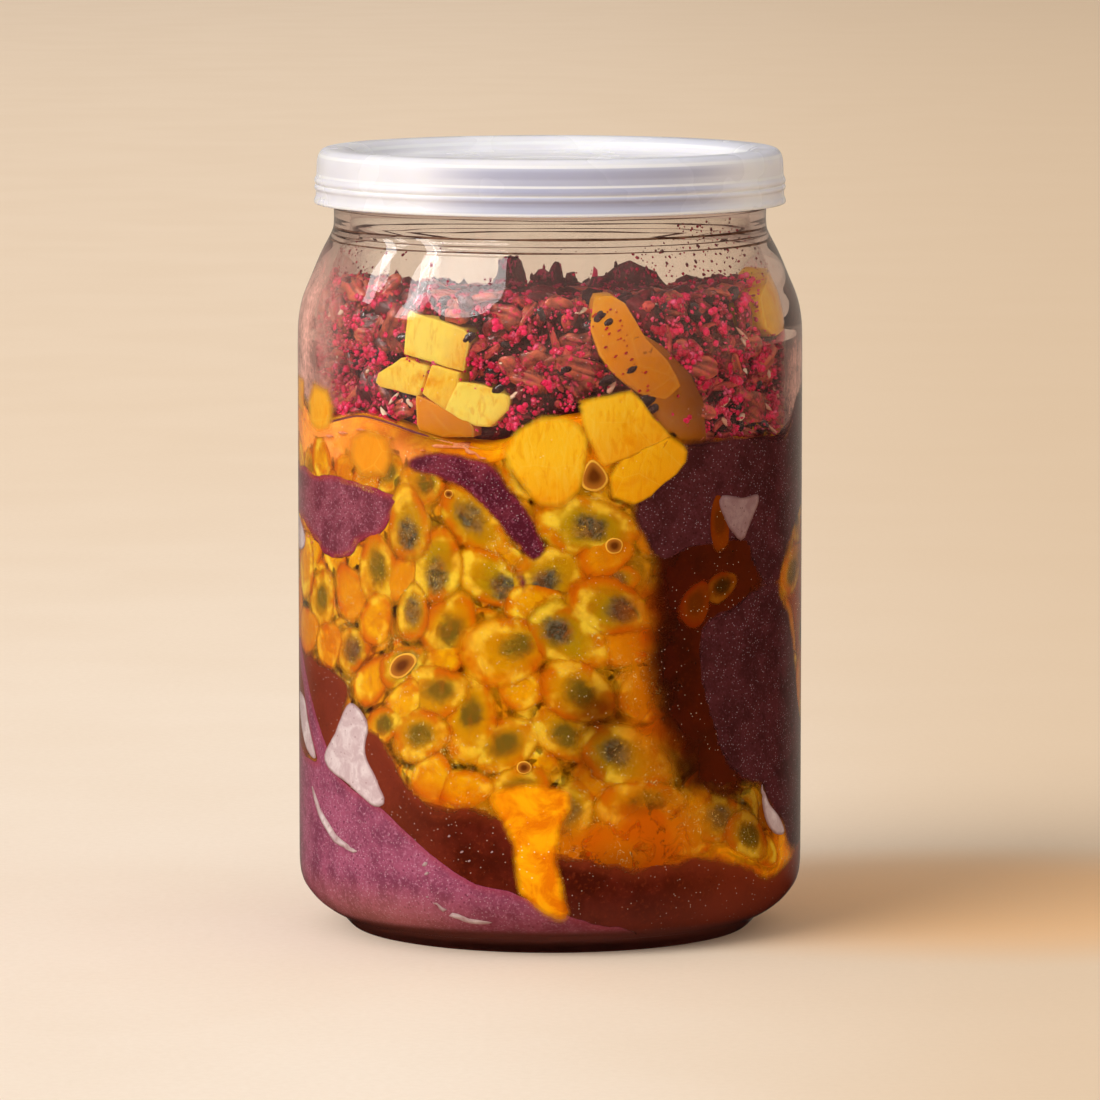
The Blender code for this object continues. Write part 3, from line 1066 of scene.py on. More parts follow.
@dataclass
class Shell:
    """A mesh that is being put together, with numbers marked on its points."""

    points: np.ndarray
    faces: list[tuple[int, ...]]
    marks: dict[str, np.ndarray] = field(default_factory=dict)

    @staticmethod
    def joined(shells: Sequence["Shell"]) -> "Shell":
        """Puts shells together as one.

        Args:
            shells: Shells with the same marks.

        Returns:
            The joined shell.
        """
        faces: list[tuple[int, ...]] = []
        start = 0
        for shell in shells:
            faces += [tuple(corner + start for corner in face) for face in shell.faces]
            start += len(shell.points)
        names = shells[0].marks
        return Shell(
            np.concatenate([shell.points for shell in shells]),
            faces,
            {name: np.concatenate([s.marks[name] for s in shells]) for name in names},
        )

    @staticmethod
    def read(mesh: bpy.types.Mesh, names: Sequence[str] = ()) -> "Shell":
        """Reads a Blender mesh.

        Args:
            mesh: The mesh, in metres.
            names: Its point attributes to keep as marks.

        Returns:
            The shell.
        """
        points = np.empty(len(mesh.vertices) * 3)
        mesh.vertices.foreach_get("co", points)
        marks = {}
        for name in names:
            marks[name] = np.empty(len(mesh.vertices))
            mesh.attributes[name].data.foreach_get("value", marks[name])
        faces = [tuple(polygon.vertices) for polygon in mesh.polygons]
        return Shell(points.reshape(-1, 3) / MM, faces, marks)

    def marked(self, **marks: np.ndarray | float) -> "Shell":
        """Adds marks, each one number per point or one for all.

        Args:
            **marks: The marks, by name.

        Returns:
            This shell.
        """
        for name, given in marks.items():
            self.marks[name] = np.broadcast_to(np.asarray(given, float), len(self.points))
        return self

    def to_object(self, name: str, material: bpy.types.Material) -> bpy.types.Object:
        """Makes a Blender object with smooth faces that point outwards.

        Args:
            name: The object's name.
            material: Its finish.

        Returns:
            The object.
        """
        mesh = bpy.data.meshes.new(name)
        mesh.from_pydata((self.points * MM).tolist(), [], self.faces)
        for mark, numbers in self.marks.items():
            mesh.attributes.new(mark, "FLOAT", "POINT").data.foreach_set(
                "value", np.ascontiguousarray(numbers, np.float32)
            )
        shape = bmesh.new()
        shape.from_mesh(mesh)
        bmesh.ops.recalc_face_normals(shape, faces=shape.faces)
        for face in shape.faces:
            face.smooth = True
        shape.to_mesh(mesh)
        shape.free()
        mesh.materials.append(material)
        made = bpy.data.objects.new(name, mesh)
        bpy.context.scene.collection.objects.link(made)
        return made


def place(
    shell: Shell,
    name: str,
    material: bpy.types.Material,
    nodes: Sequence[str] = (),
) -> bpy.types.Object:
    """Makes a finished piece of the jar and ties it to the frame.

    Args:
        shell: Its mesh.
        name: Its name.
        material: Its finish.
        nodes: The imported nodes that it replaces.

    Returns:
        The piece.
    """
    made = shell.to_object(name, material)
    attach(made, BODY)
    if nodes:
        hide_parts(*nodes)
    log.info("%s: %d points, %d faces", name, len(shell.points), len(shell.faces))
    return made


def softened(section: Corners, reach: float, rounds: int = 2) -> np.ndarray:
    """Rounds the corners of a section by cutting them.

    Args:
        section: The section's corners.
        reach: The most that is cut along a side.
        rounds: How often they are cut.

    Returns:
        The rounded section, one (radius, height) per row.
    """
    line = np.array(section, float)
    for _ in range(rounds):
        ahead = np.diff(line, axis=0)
        length = np.linalg.norm(ahead, axis=1, keepdims=True)
        share = np.minimum(0.25, reach / np.maximum(length, 1e-9))
        near, far = line[:-1] + ahead * share, line[1:] - ahead * share
        middle = np.stack([near, far], 1).reshape(-1, 2)
        line = np.concatenate([line[:1], middle[1:-1], line[-1:]])
    return line


def turned(radii: np.ndarray, heights: np.ndarray) -> Shell:
    """A closed turned shape, which may vary with azimuth.

    Args:
        radii: Radius of each ring at each azimuth, the first and last ring on the axis.
        heights: Heights, in the same way.

    Returns:
        The shell.
    """
    steps, rings = radii.shape
    azimuth = np.arange(steps)[:, None] * 360 / steps - 180
    inner = around(azimuth, heights[:, 1:-1], radii[:, 1:-1]).reshape(-1, 3)
    poles = np.array([(0, 0, heights[0, 0]), (0, 0, heights[0, -1])])
    count = rings - 2
    first, last = len(inner), len(inner) + 1
    faces: list[tuple[int, ...]] = []
    for column in range(steps):
        here, beside = column * count, (column + 1) % steps * count
        faces.append((first, beside, here))
        faces += [
            (here + ring, beside + ring, beside + ring + 1, here + ring + 1)
            for ring in range(count - 1)
        ]
        faces.append((last, here + count - 1, beside + count - 1))
    return Shell(np.concatenate([inner, poles]), faces)


def lathe(section: np.ndarray, steps: int) -> Shell:
    """Turns one section about the axis."""
    return turned(np.tile(section[:, 0], (steps, 1)), np.tile(section[:, 1], (steps, 1)))


def hoop(level: float, radius: float, tall: float, seed: int, steps: int = 240) -> Shell:
    """A closed hoop about the axis, thinner and thicker along its way.

    Args:
        level: Its height.
        radius: Its radius.
        tall: Its thickness.
        seed: Which unevenness.
        steps: Points round it.

    Returns:
        The shell.
    """
    azimuth = np.arange(steps) * 360 / steps - 180
    places = around(azimuth, 0.0, 60.0)
    swell = np.clip(0.8 + 0.6 * lumps(places, 16.0, seed), 0.2, 1.4)[:, None]
    stray = 0.12 * lumps(places, 22.0, seed + 1)[:, None]
    turn = np.arange(8) * np.pi / 4
    radii = radius + 0.2 * np.cos(turn) * swell
    heights = level + tall / 2 * np.sin(turn) * swell + stray
    faces = []
    for step in range(steps):
        here, beside = step * 8, (step + 1) % steps * 8
        for spot in range(8):
            ahead = (spot + 1) % 8
            faces.append((here + spot, beside + spot, beside + ahead, here + ahead))
    return Shell(around(azimuth[:, None], heights, radii).reshape(-1, 3), faces)


def ball(detail: int) -> Shell:
    """A unit ball of small triangles.

    Args:
        detail: Subdivisions of the icosahedron, 1 for the bare one.

    Returns:
        The shell.
    """
    shape = bmesh.new()
    bmesh.ops.create_icosphere(shape, subdivisions=detail, radius=1.0)
    points = np.array([corner.co[:] for corner in shape.verts])
    faces = [tuple(corner.index for corner in face.verts) for face in shape.faces]
    shape.free()
    return Shell(points, faces)


# The wall and what lies against it


@dataclass(frozen=True)
class Wall:
    """The jar's inner wall, which the filling lies against."""

    radius: float = 38.3
    inside: Corners = (
        (0.0, 4.6), (32.5, 4.6), (35.2, 5.3), (37.3, 7.3), (38.3, 11.2), (38.3, 96.0),
        (38.0, 100.6), (36.8, 104.4), (33.8, 111.2), (32.6, 113.5), (32.4, 115.5), (32.4, 124.3),
    )
    columns: int = 288
    row: float = 0.85

    def at(self, height: np.ndarray) -> np.ndarray:
        """Radius of the inner wall at given heights."""
        section = softened(self.inside, 1.5)[1:]
        return np.interp(height, section[:, 1], section[:, 0])

    def per_degree(self) -> float:
        """Length along the wall of one degree."""
        return math.radians(self.radius)

    def rows(self, low: float, high: float) -> np.ndarray:
        """Heights of a grid's rows, closer where the heel curves.

        Args:
            low: The lowest height wanted.
            high: The highest height wanted.

        Returns:
            The heights.
        """
        heel = np.array((4.62, 4.7, 4.85, 5.1, 5.45, 5.9, 6.5, 7.2, 8.0, 8.8, 9.6, 10.4))
        straight = np.arange(11.2, 118, self.row)
        every = np.concatenate([heel, straight])
        return every[(every > low - self.row) & (every < high + self.row)]

    def azimuths(self) -> np.ndarray:
        """Azimuths of a grid's columns."""
        return np.arange(self.columns) * 360 / self.columns - 180

    def pressed(self, points: np.ndarray, clear: float) -> np.ndarray:
        """Moves points that are too far out back inside the wall.

        Args:
            points: The points.
            clear: Clearance that is left.

        Returns:
            The points.
        """
        azimuth, height, radius = polar(points)
        return around(azimuth, height, np.minimum(radius, self.at(height) - clear))


WALL = Wall()


@dataclass(frozen=True)
class Outline:
    """A closed outline on the wall, as (azimuth, height) corners, rounded between them."""

    corners: Corners
    wobble: float = 0.5
    seed: int = 1

    def line(self) -> np.ndarray:
        """The rounded outline in lengths along and up the wall.

        Returns:
            The points along it, one per row.
        """
        corners = np.array(self.corners, float) * (WALL.per_degree(), 1)
        before, after = np.roll(corners, 1, 0), np.roll(corners, -1, 0)
        beyond = np.roll(corners, -2, 0)
        share = np.linspace(0, 1, 6, endpoint=False)[None, :, None]
        here, to = corners[:, None], after[:, None]
        out, back = (after - before)[:, None] / 2, (beyond - corners)[:, None] / 2
        cube, square = share**3, share**2
        curve = (
            (2 * cube - 3 * square + 1) * here
            + (cube - 2 * square + share) * out
            + (3 * square - 2 * cube) * to
            + (cube - square) * back
        )
        return curve.reshape(-1, 2)

    def __call__(self, azimuth: np.ndarray, height: np.ndarray) -> np.ndarray:
        """Depth inside the outline.

        Args:
            azimuth: Azimuths of the places.
            height: Their heights.

        Returns:
            Distance to the outline, above 0 inside it.
        """
        line = self.line()
        depth = np.full(azimuth.shape, -FIELD_REACH)
        middle = (line[:, 0].min() + line[:, 0].max()) / 2 / WALL.per_degree()
        nearer = (azimuth - middle + 180) % 360 - 180 + middle
        places = np.stack([nearer * WALL.per_degree(), height], -1)
        low, high = line.min(0) - FIELD_REACH, line.max(0) + FIELD_REACH
        near = ((places > low) & (places < high)).all(-1)
        chosen = places[near][:, None]
        start, end = line[None], np.roll(line, -1, 0)[None]
        way = end - start
        share = ((chosen - start) * way).sum(-1) / np.maximum((way**2).sum(-1), 1e-9)
        nearest = start + way * np.clip(share, 0, 1)[..., None]
        distance = np.linalg.norm(chosen - nearest, axis=-1).min(1)
        above = (start[..., 1] > chosen[..., 1]) != (end[..., 1] > chosen[..., 1])
        rise = np.where(way[..., 1] == 0, 1e-9, way[..., 1])
        crossing = start[..., 0] + way[..., 0] * (chosen[..., 1] - start[..., 1]) / rise
        inside = (above & (chosen[..., 0] < crossing)).sum(1) % 2 == 1
        depth[near] = np.where(inside, distance, -distance)
        return depth + roughened(azimuth, height, self.wobble, self.seed)


@dataclass(frozen=True)
class Shore:
    """The level of a layer's top round the wall, as (azimuth, height) stations."""

    stations: Corners
    wobble: float = 0.4
    seed: int = 2
    spacing: float = 1.25
    smoothing: int = 6

    def level(self, azimuth: np.ndarray) -> np.ndarray:
        """Smooth level at given azimuths.

        Args:
            azimuth: The azimuths.

        Returns:
            The levels.
        """
        stations = np.array(self.stations, float)
        fine = np.arange(-180, 180, self.spacing)
        level = np.interp(fine, stations[:, 0], stations[:, 1], period=360)
        for _ in range(self.smoothing):
            level = (np.roll(level, 1) + 2 * level + np.roll(level, -1)) / 4
        return np.interp(azimuth, fine, level, period=360)

    def __call__(self, azimuth: np.ndarray, height: np.ndarray) -> np.ndarray:
        """Depth below the level.

        Args:
            azimuth: Azimuths of the places.
            height: Their heights.

        Returns:
            The depths, below 0 above the level.
        """
        return self.level(azimuth) - height + roughened(azimuth, height, self.wobble, self.seed)


def roughened(azimuth: np.ndarray, height: np.ndarray, size: float, seed: int) -> np.ndarray:
    """Unevenness of an edge on the wall.

    Args:
        azimuth: Azimuths of the places.
        height: Their heights.
        size: How far the edge strays.
        seed: Which unevenness.

    Returns:
        The change in depth at each place.
    """
    places = around(azimuth, height, WALL.radius).reshape(-1, 3)
    rough = 0.7 * lumps(places, 5.0, seed) + 0.5 * lumps(places, 1.9, seed + 1)
    return (size * rough).reshape(azimuth.shape)


@dataclass
class Sheet:
    """A closed layer against the wall, wherever its field is above 0."""

    field: Field
    low: float
    high: float
    proud: float
    thick: float = 3.0
    rounding: float = 0.25

    def cut(self) -> tuple[np.ndarray, np.ndarray, list[tuple[int, ...]]]:
        """Trims a grid on the wall to the field.

        Returns:
            Places as (azimuth, height), the field there, and the faces.
        """
        columns = WALL.azimuths()
        rows = WALL.rows(self.low, self.high)
        azimuth, height = np.meshgrid(columns, rows, indexing="ij")
        depth = self.field(azimuth, height)
        places: list[tuple[float, float]] = []
        depths: list[float] = []
        index: dict[tuple, int] = {}

        def corner(i: int, j: int) -> int:
            """Number of the place at a corner of the grid.

            Args:
                i: The corner's column.
                j: Its row.

            Returns:
                The number.
            """
            key = (i % len(columns), j)
            if key not in index:
                index[key] = len(places)
                places.append((columns[key[0]], rows[j]))
                depths.append(depth[key])
            return index[key]

        def crossing(i: int, j: int, m: int, n: int) -> int:
            """Number of the place where the edge of the field crosses a side of the grid.

            Args:
                i: Column of the side's one end.
                j: Its row.
                m: Column of the side's other end.
                n: Its row.

            Returns:
                The number.
            """
            ends = sorted(((i % len(columns), j), (m % len(columns), n)))
            key = (*ends[0], *ends[1])
            if key not in index:
                first, second = depth[ends[0]], depth[ends[1]]
                share = min(max(first / (first - second), 0.02), 0.98)
                from_az, to_az = columns[ends[0][0]], columns[ends[1][0]]
                to_az += 360 * round((from_az - to_az) / 360)
                index[key] = len(places)
                places.append(
                    (
                        from_az + (to_az - from_az) * share,
                        rows[ends[0][1]] + (rows[ends[1][1]] - rows[ends[0][1]]) * share,
                    )
                )
                depths.append(0.0)
            return index[key]

        inside = depth > 0
        faces: list[tuple[int, ...]] = []
        for i in range(len(columns)):
            beside = (i + 1) % len(columns)
            for j in range(len(rows) - 1):
                ring = ((i, j), (i + 1, j), (i + 1, j + 1), (i, j + 1))
                held = (inside[i, j], inside[beside, j], inside[beside, j + 1], inside[i, j + 1])
                if not any(held):
                    continue
                if all(held):
                    faces.append(tuple(corner(*spot) for spot in ring))
                    continue
                face = []
                for k in range(4):
                    here, ahead = ring[k], ring[(k + 1) % 4]
                    if held[k]:
                        face.append(corner(*here))
                    if held[k] != held[(k + 1) % 4]:
                        face.append(crossing(*here, *ahead))
                faces.append(tuple(face))
        return np.array(places), np.array(depths), faces

    def shell(self) -> Shell:
        """Gives the trimmed sheet its thickness.

        Returns:
            The closed shell, marked with the depth within the layer's edge.
        """
        places, depth, faces = self.cut()
        depth = np.clip(depth, 0, 6)
        azimuth, height = places[:, 0], places[:, 1]
        wall = WALL.at(height)
        outer = wall + self.proud - self.rounding * np.exp(-((depth / 0.5) ** 2))
        points = around(azimuth, height, outer)
        inner = around(azimuth, np.maximum(height, 5.2), wall - self.thick)
        used = {}
        for face in faces:
            for start, end in zip(face, face[1:] + face[:1]):
                used[(start, end)] = used.get((start, end), 0) + 1
        count = len(points)
        sides = [
            (end, start, start + count, end + count)
            for start, end in used
            if (end, start) not in used
        ]
        backs = [tuple(corner + count for corner in reversed(face)) for face in faces]
        return Shell(
            np.concatenate([points, inner]), faces + backs + sides
        ).marked(within=np.concatenate([depth, depth]))


def either(*fields: Field) -> Field:
    """A field that is inside where any of the given ones is."""
    return lambda azimuth, height: np.maximum.reduce([f(azimuth, height) for f in fields])


def grown(base: Field, by: float) -> Field:
    """A field whose edge lies further out, by a distance."""
    return lambda azimuth, height: base(azimuth, height) + by


def without(base: Field, *holes: Field) -> Field:
    """A field less others.

    Args:
        base: The field.
        *holes: What is taken out of it.

    Returns:
        The field that is left.
    """
    return lambda azimuth, height: np.minimum.reduce(
        [base(azimuth, height), *(-hole(azimuth, height) for hole in holes)]
    )


@dataclass(frozen=True)
class Streak:
    """A thin streak along a line on the wall, tapering to its ends."""

    line: Corners
    width: float

    def __call__(self, azimuth: np.ndarray, height: np.ndarray) -> np.ndarray:
        """Depth inside the streak.

        Args:
            azimuth: Azimuths of the places.
            height: Their heights.

        Returns:
            The depths, below 0 off the streak.
        """
        line = np.array(self.line, float) * (WALL.per_degree(), 1)
        places = np.stack([azimuth * WALL.per_degree(), height], -1)
        depth = np.full(azimuth.shape, -FIELD_REACH)
        pieces = len(line) - 1
        for k, (start, end) in enumerate(zip(line, line[1:])):
            way = end - start
            share = np.clip(((places - start) @ way) / (way @ way), 0, 1)
            distance = np.linalg.norm(places - start - share[..., None] * way, axis=-1)
            along = (k + share) / pieces
            half = self.width / 2 * np.sqrt(np.sin(np.pi * np.clip(along, 0.03, 0.97)))
            depth = np.maximum(depth, half - distance)
        return depth + roughened(azimuth, height, 0.12, 5)


# Sub-assemblies

WET_TOP = Shore(
    (
        (-150, 87), (-90, 88), (-80, 86), (-70, 82.5), (-58, 84.3), (-50, 85.5), (-40, 84.5),
        (-32, 83), (-20, 81.5), (-12, 81), (-4, 84), (2, 86), (15, 87), (25, 83), (33, 81),
        (45, 81), (60, 80.5), (69, 79.5), (76, 83), (84, 86), (150, 87),
    ),
    wobble=0.0,
)


@dataclass
class GlassJar:
    """The jar.

    Where the wet filling backs it, its inner side runs behind the filling's face, so that no air
    shows.
    """

    outside: Corners = (
        (38.3, 96.0), (38.0, 100.6), (36.8, 104.4), (33.8, 111.2), (32.6, 113.5), (32.4, 115.5),
        (32.4, 124.3), (33.0, 125.2), (34.5, 125.2), (35.1, 124.4), (35.1, 121.6), (36.0, 120.4),
        (35.1, 118.8), (35.0, 114.5), (35.5, 113.1), (37.2, 110.0), (38.8, 106.1), (40.2, 102.9),
        (40.9, 99.5), (41.0, 95.5), (41.0, 10.0), (40.5, 7.7), (39.5, 6.1), (38.0, 4.4),
        (35.7, 2.8), (34.3, 2.3), (32.9, 0.6), (32.0, 0.0), (27.0, 0.0), (25.5, 1.0), (0.0, 1.8),
    )
    behind: float = 3.2
    hidden_floor: float = 7.8
    steps: int = 192
    lip: float = 0.5

    def shell(self) -> Shell:
        """The closed glass body.

        Returns:
            The shell.
        """
        azimuth = np.arange(self.steps) * 360 / self.steps - 180
        wet = WET_TOP.level(azimuth)
        back = WALL.radius - self.behind
        floor = self.hidden_floor
        columns = [(0.0, floor), (back - 6, floor), (back - 1, floor + 1)]
        radii = [np.full(self.steps, radius) for radius, _ in columns]
        heights = [np.full(self.steps, height) for _, height in columns]
        for share in np.linspace(0, 1, 10):
            radii.append(np.full(self.steps, back))
            heights.append(12 + (wet - self.lip - 12) * share)
        for share in np.linspace(0, 1, 6):
            radii.append(np.full(self.steps, WALL.radius))
            heights.append(wet + (94.0 - wet) * share)
        for radius, height in softened(self.outside, 1.4):
            radii.append(np.full(self.steps, radius))
            heights.append(np.full(self.steps, height))
        return turned(np.stack(radii, 1), np.stack(heights, 1))

    def build(self) -> None:
        """Makes the jar."""
        place(self.shell(), "glass_jar", ClearGlass().make(), ["jar"])


@dataclass
class PushOnLid:
    """The lid: sunken panel, rim over the mouth, and a skirt with a fine double ridge."""

    section: Corners = (
        (0.0, 123.4), (30.8, 123.4), (32.0, 124.0), (32.4, 125.6), (35.2, 125.8), (36.3, 125.0),
        (36.7, 123.0), (37.2, 118.0), (38.2, 118.0), (38.25, 118.7), (37.95, 119.2),
        (37.95, 120.2), (38.2, 120.5), (38.2, 120.9), (37.9, 121.2), (38.2, 121.5), (38.2, 122.0),
        (37.85, 122.5), (37.8, 125.0), (37.4, 126.3), (36.5, 127.0), (33.4, 127.0), (32.2, 126.3),
        (31.2, 124.8), (14.0, 124.6), (13.6, 124.8), (12.8, 124.8), (12.4, 124.6), (1.6, 124.6),
        (1.2, 124.9), (0.0, 125.0),
    )
    steps: int = 160

    def build(self) -> None:
        """Makes the lid."""
        shell = lathe(softened(self.section, 0.35), self.steps)
        place(shell, "push_on_lid", MilkyPlastic().make(), ["lid"])


ACAI_BASE = Shore(
    (
        (-165, 34), (-120, 37), (-92, 32), (-80, 28.5), (-70, 28), (-65, 29.5), (-60, 27.5),
        (-50, 25), (-43, 23), (-40, 22), (-30, 17), (-20, 13), (-10, 11), (0, 9), (10, 6.5),
        (20, 5.2), (30, 4.4), (88, 4.4), (110, 9), (150, 20),
    ),
    wobble=0.45,
)
ACAI_THREAD = Outline(
    (


        (-62, 29), (-64, 31.5), (-70, 36), (-76, 41), (-84, 47), (-88, 46), (-80, 39.5), (-75, 34),
        (-70, 29.5), (-66, 26),
    ),
    wobble=0.3,
)
UPPER_LEFT = Outline(
    (
        (-38, 73.5), (-50, 75), (-60, 76), (-70, 75.2), (-88, 76), (-104, 77), (-104, 67),
        (-88, 68), (-80, 67), (-70, 64), (-60, 62.2), (-54, 63), (-50, 65.5), (-43, 67),
        (-40, 69.5),
    ),
    wobble=0.7,
)
RIBBON = Outline(
    (
        (-35.2, 79.2), (-31.5, 80.6), (-27.2, 80.9), (-18.9, 80.1), (-13.2, 78.5), (-8.8, 74.9),
        (-5.1, 71.2), (-2.6, 68.4), (-0.9, 65.9), (-2.2, 64.3), (-4.4, 63.8), (-8.8, 67.1),
        (-13.2, 70.8), (-17.7, 73.7), (-22.4, 75.8), (-28.6, 77.0), (-34.0, 77.6),
    ),
    wobble=0.45,
)
RIBBON_CRUMB = Outline(((-8, 62), (-6.2, 62), (-5, 60), (-6, 59), (-7.5, 60.4)), wobble=0.3)
RIGHT_BAND = Outline(
    (
        (22, 75.5), (25, 77.5), (29, 79.6), (33, 81.8), (42, 82.8), (52, 82.6), (62, 82),
        (70, 81.6), (75, 84.4), (81, 87.4), (104, 88.6), (104, 62), (82, 62), (68, 58),
        (60, 57.5), (54, 62), (50, 65.2), (37, 65.2), (31, 64.6), (26.5, 63.4), (22.5, 66.5),
        (20.0, 71.0),
    ),
    wobble=0.8,
)
RIGHT_MASS = Outline(
    (
        (37, 52), (41, 54.5), (48, 56), (55, 57.5), (62, 58.5), (70, 57), (78, 52), (90, 47),
        (104, 45), (104, 14), (88, 13), (75, 13.5), (70, 17.5), (65, 20), (58, 25), (52, 26.5),
        (45, 30), (40.5, 36), (37.5, 43), (36, 48),
    ),
    wobble=0.5,
)
BACK_LOW = Shore(((-150, 62), (-96, 67), (96, 13), (110, 22), (135, 50)), wobble=0.8, seed=7)
BACK_HIGH = Shore(((-150, 78), (-96, 76.5), (96, 87), (150, 88)), wobble=0.5, seed=8)
RIGHT_PULP = Outline(
    (
        (88, 68), (80, 66), (72, 61.5), (68.5, 57), (74, 52.5), (79, 45), (84, 37), (92, 34),
        (102, 42), (102, 64),
    ),
    wobble=0.5,
)
LEFT_JUICE = Outline(
    (
        (-110, 46), (-85, 46.5), (-70, 45.5), (-60, 44.5), (-54, 42), (-55, 38), (-62, 30),
        (-72, 28), (-110, 30),
    ),
    wobble=0.5,
)
FRONT_JUICE = Shore(
    (
        (-180, 43), (-110, 38), (-66, 26), (-50, 33), (-47, 37), (-42, 34.5), (-36, 27.5),
        (-28, 24.5), (-18, 25), (-10, 23), (-6, 18), (0, 18), (10, 16), (20, 15), (30, 16),
        (38, 16.5), (45, 15), (52, 13.5), (60, 11), (67, 11), (75, 13), (110, 22), (150, 32),
    ),
    wobble=0.7,
    seed=4,
)
JUICE_COLUMN = Outline(
    (
        (26.5, 63), (27, 57), (25, 49), (25.5, 42), (30, 37.5), (33.5, 31), (36, 27), (44, 26),
        (50, 26), (50, 40), (44, 50), (56, 56), (58, 60), (53, 67), (36, 68), (30, 66),
    ),
    wobble=1.0,
    seed=6,
)
PULP_DRIP = Outline(
    (
        (-13, 27), (-8.6, 20), (-7.2, 14), (-6.5, 10.8), (-3, 8.8), (3.5, 7.6), (2.2, 11),
        (1.2, 16), (1.6, 20), (4, 27),
    ),
    wobble=0.35,
)


def back_only(band: Field) -> Field:
    """Keeps a field to the back of the jar.

    Args:
        band: The field.

    Returns:
        The field, below 0 at the front.
    """
    return lambda azimuth, height: np.minimum(
        band(azimuth, height), (np.abs(azimuth) - 96) * WALL.per_degree()
    )


def back_band(azimuth: np.ndarray, height: np.ndarray) -> np.ndarray:
    """The upper acai where it runs round the back."""
    return np.minimum(BACK_HIGH(azimuth, height), -BACK_LOW(azimuth, height))


@dataclass
class AcaiLayers:
    """The blended acai: a pale frosty layer at the foot and darker masses higher up."""

    base_finish: FrozenAcai = FrozenAcai(
        "frosty acai",
        body=rgb(160, 80, 108),
        deep=rgb(126, 58, 82),
        frost=rgb(196, 126, 152),
        edge=rgb(158, 62, 84),
        frosted=0.55,
    )
    upper_finish: FrozenAcai = FrozenAcai(
        "plum acai",
        body=rgb(84, 36, 39),
        deep=rgb(66, 26, 26),
        frost=rgb(112, 60, 68),
        edge=rgb(118, 28, 18),
        frosted=0.4,
        soft=2.0,
    )
    left_finish: FrozenAcai = FrozenAcai(
        "magenta acai",
        body=rgb(140, 66, 82),
        deep=rgb(108, 42, 56),
        frost=rgb(182, 112, 132),
        edge=rgb(156, 40, 62),
        frosted=0.5,
    )
    ribbon_finish: FrozenAcai = FrozenAcai(
        "wine acai",
        body=rgb(118, 44, 58),
        deep=rgb(82, 24, 38),
        frost=rgb(168, 92, 116),
        edge=rgb(150, 28, 52),
        frosted=0.5,
        soft=1.2,
    )

    def build(self) -> None:
        """Makes the layers."""
        foot = either(ACAI_BASE, ACAI_THREAD)
        base = Sheet(foot, low=4.6, high=50, proud=0.2, rounding=0.0).shell()
        floor = lathe(np.array(((0, 4.55), (33.0, 4.55), (33.2, 6.5), (0, 6.5))), 96)
        floor.marked(within=4.0)
        place(
            Shell.joined([base, floor]),
            "acai_foot_layer",
            self.base_finish.make(),
            ["acai_base"],
        )
        masses = without(
            grown(either(RIGHT_BAND, RIGHT_MASS, back_only(back_band)), 0.6), RIGHT_PULP
        )
        place(
            Sheet(masses, low=10, high=92, proud=0.14).shell(),
            "acai_upper_layer",
            self.upper_finish.make(),
            ["acai_upper"],
        )
        place(
            Sheet(UPPER_LEFT, low=56, high=84, proud=0.15).shell(),
            "acai_left_patch",
            self.left_finish.make(),
        )
        ribbon = grown(either(RIBBON, RIBBON_CRUMB), 0.5)
        place(
            Sheet(ribbon, low=56, high=84, proud=0.2).shell(),
            "acai_ribbon",
            self.ribbon_finish.make(),
        )


@dataclass
class AcaiJuice:
    """The dark juice that gathers over the lower acai and runs up between the masses."""

    column_finish: DarkJuice = DarkJuice(
        "brown juice",
        body=rgb(64, 15, 5),
        deep=rgb(44, 10, 4),
        thin=rgb(98, 34, 4),
        halo=rgb(110, 30, 4),
        soft=6.0,
    )

    def build(self) -> None:
        """Makes the juice."""
        pools = grown(either(FRONT_JUICE, LEFT_JUICE), 0.8)
        place(
            Sheet(pools, low=4.6, high=50, proud=0.12).shell(),
            "dark_juice",
            DarkJuice().make(),
            ["juice", "juice_pocket"],
        )
        place(
            Sheet(grown(JUICE_COLUMN, 3.2), low=20, high=72, proud=0.125).shell(),
            "juice_column",
            self.column_finish.make(),
        )


class Tone(Enum):
    """How a passion fruit sac shows through the glass."""

    DARK = (1.0, 0.12)
    SLATE = (0.85, 0.2)
    OLIVE = (0.55, 0.3)
    GOLD = (0.0, 0.0)
    AMBER = (0.15, 0.7)
    FAINT = (0.35, 0.85)


@dataclass(frozen=True)
class Sac:
    """One passion fruit sac against the glass: its place, size, turn and tone."""

    azimuth: float
    height: float
    length: float
    width: float
    turn: float
    tone: Tone
    seed_at: float = 0.0


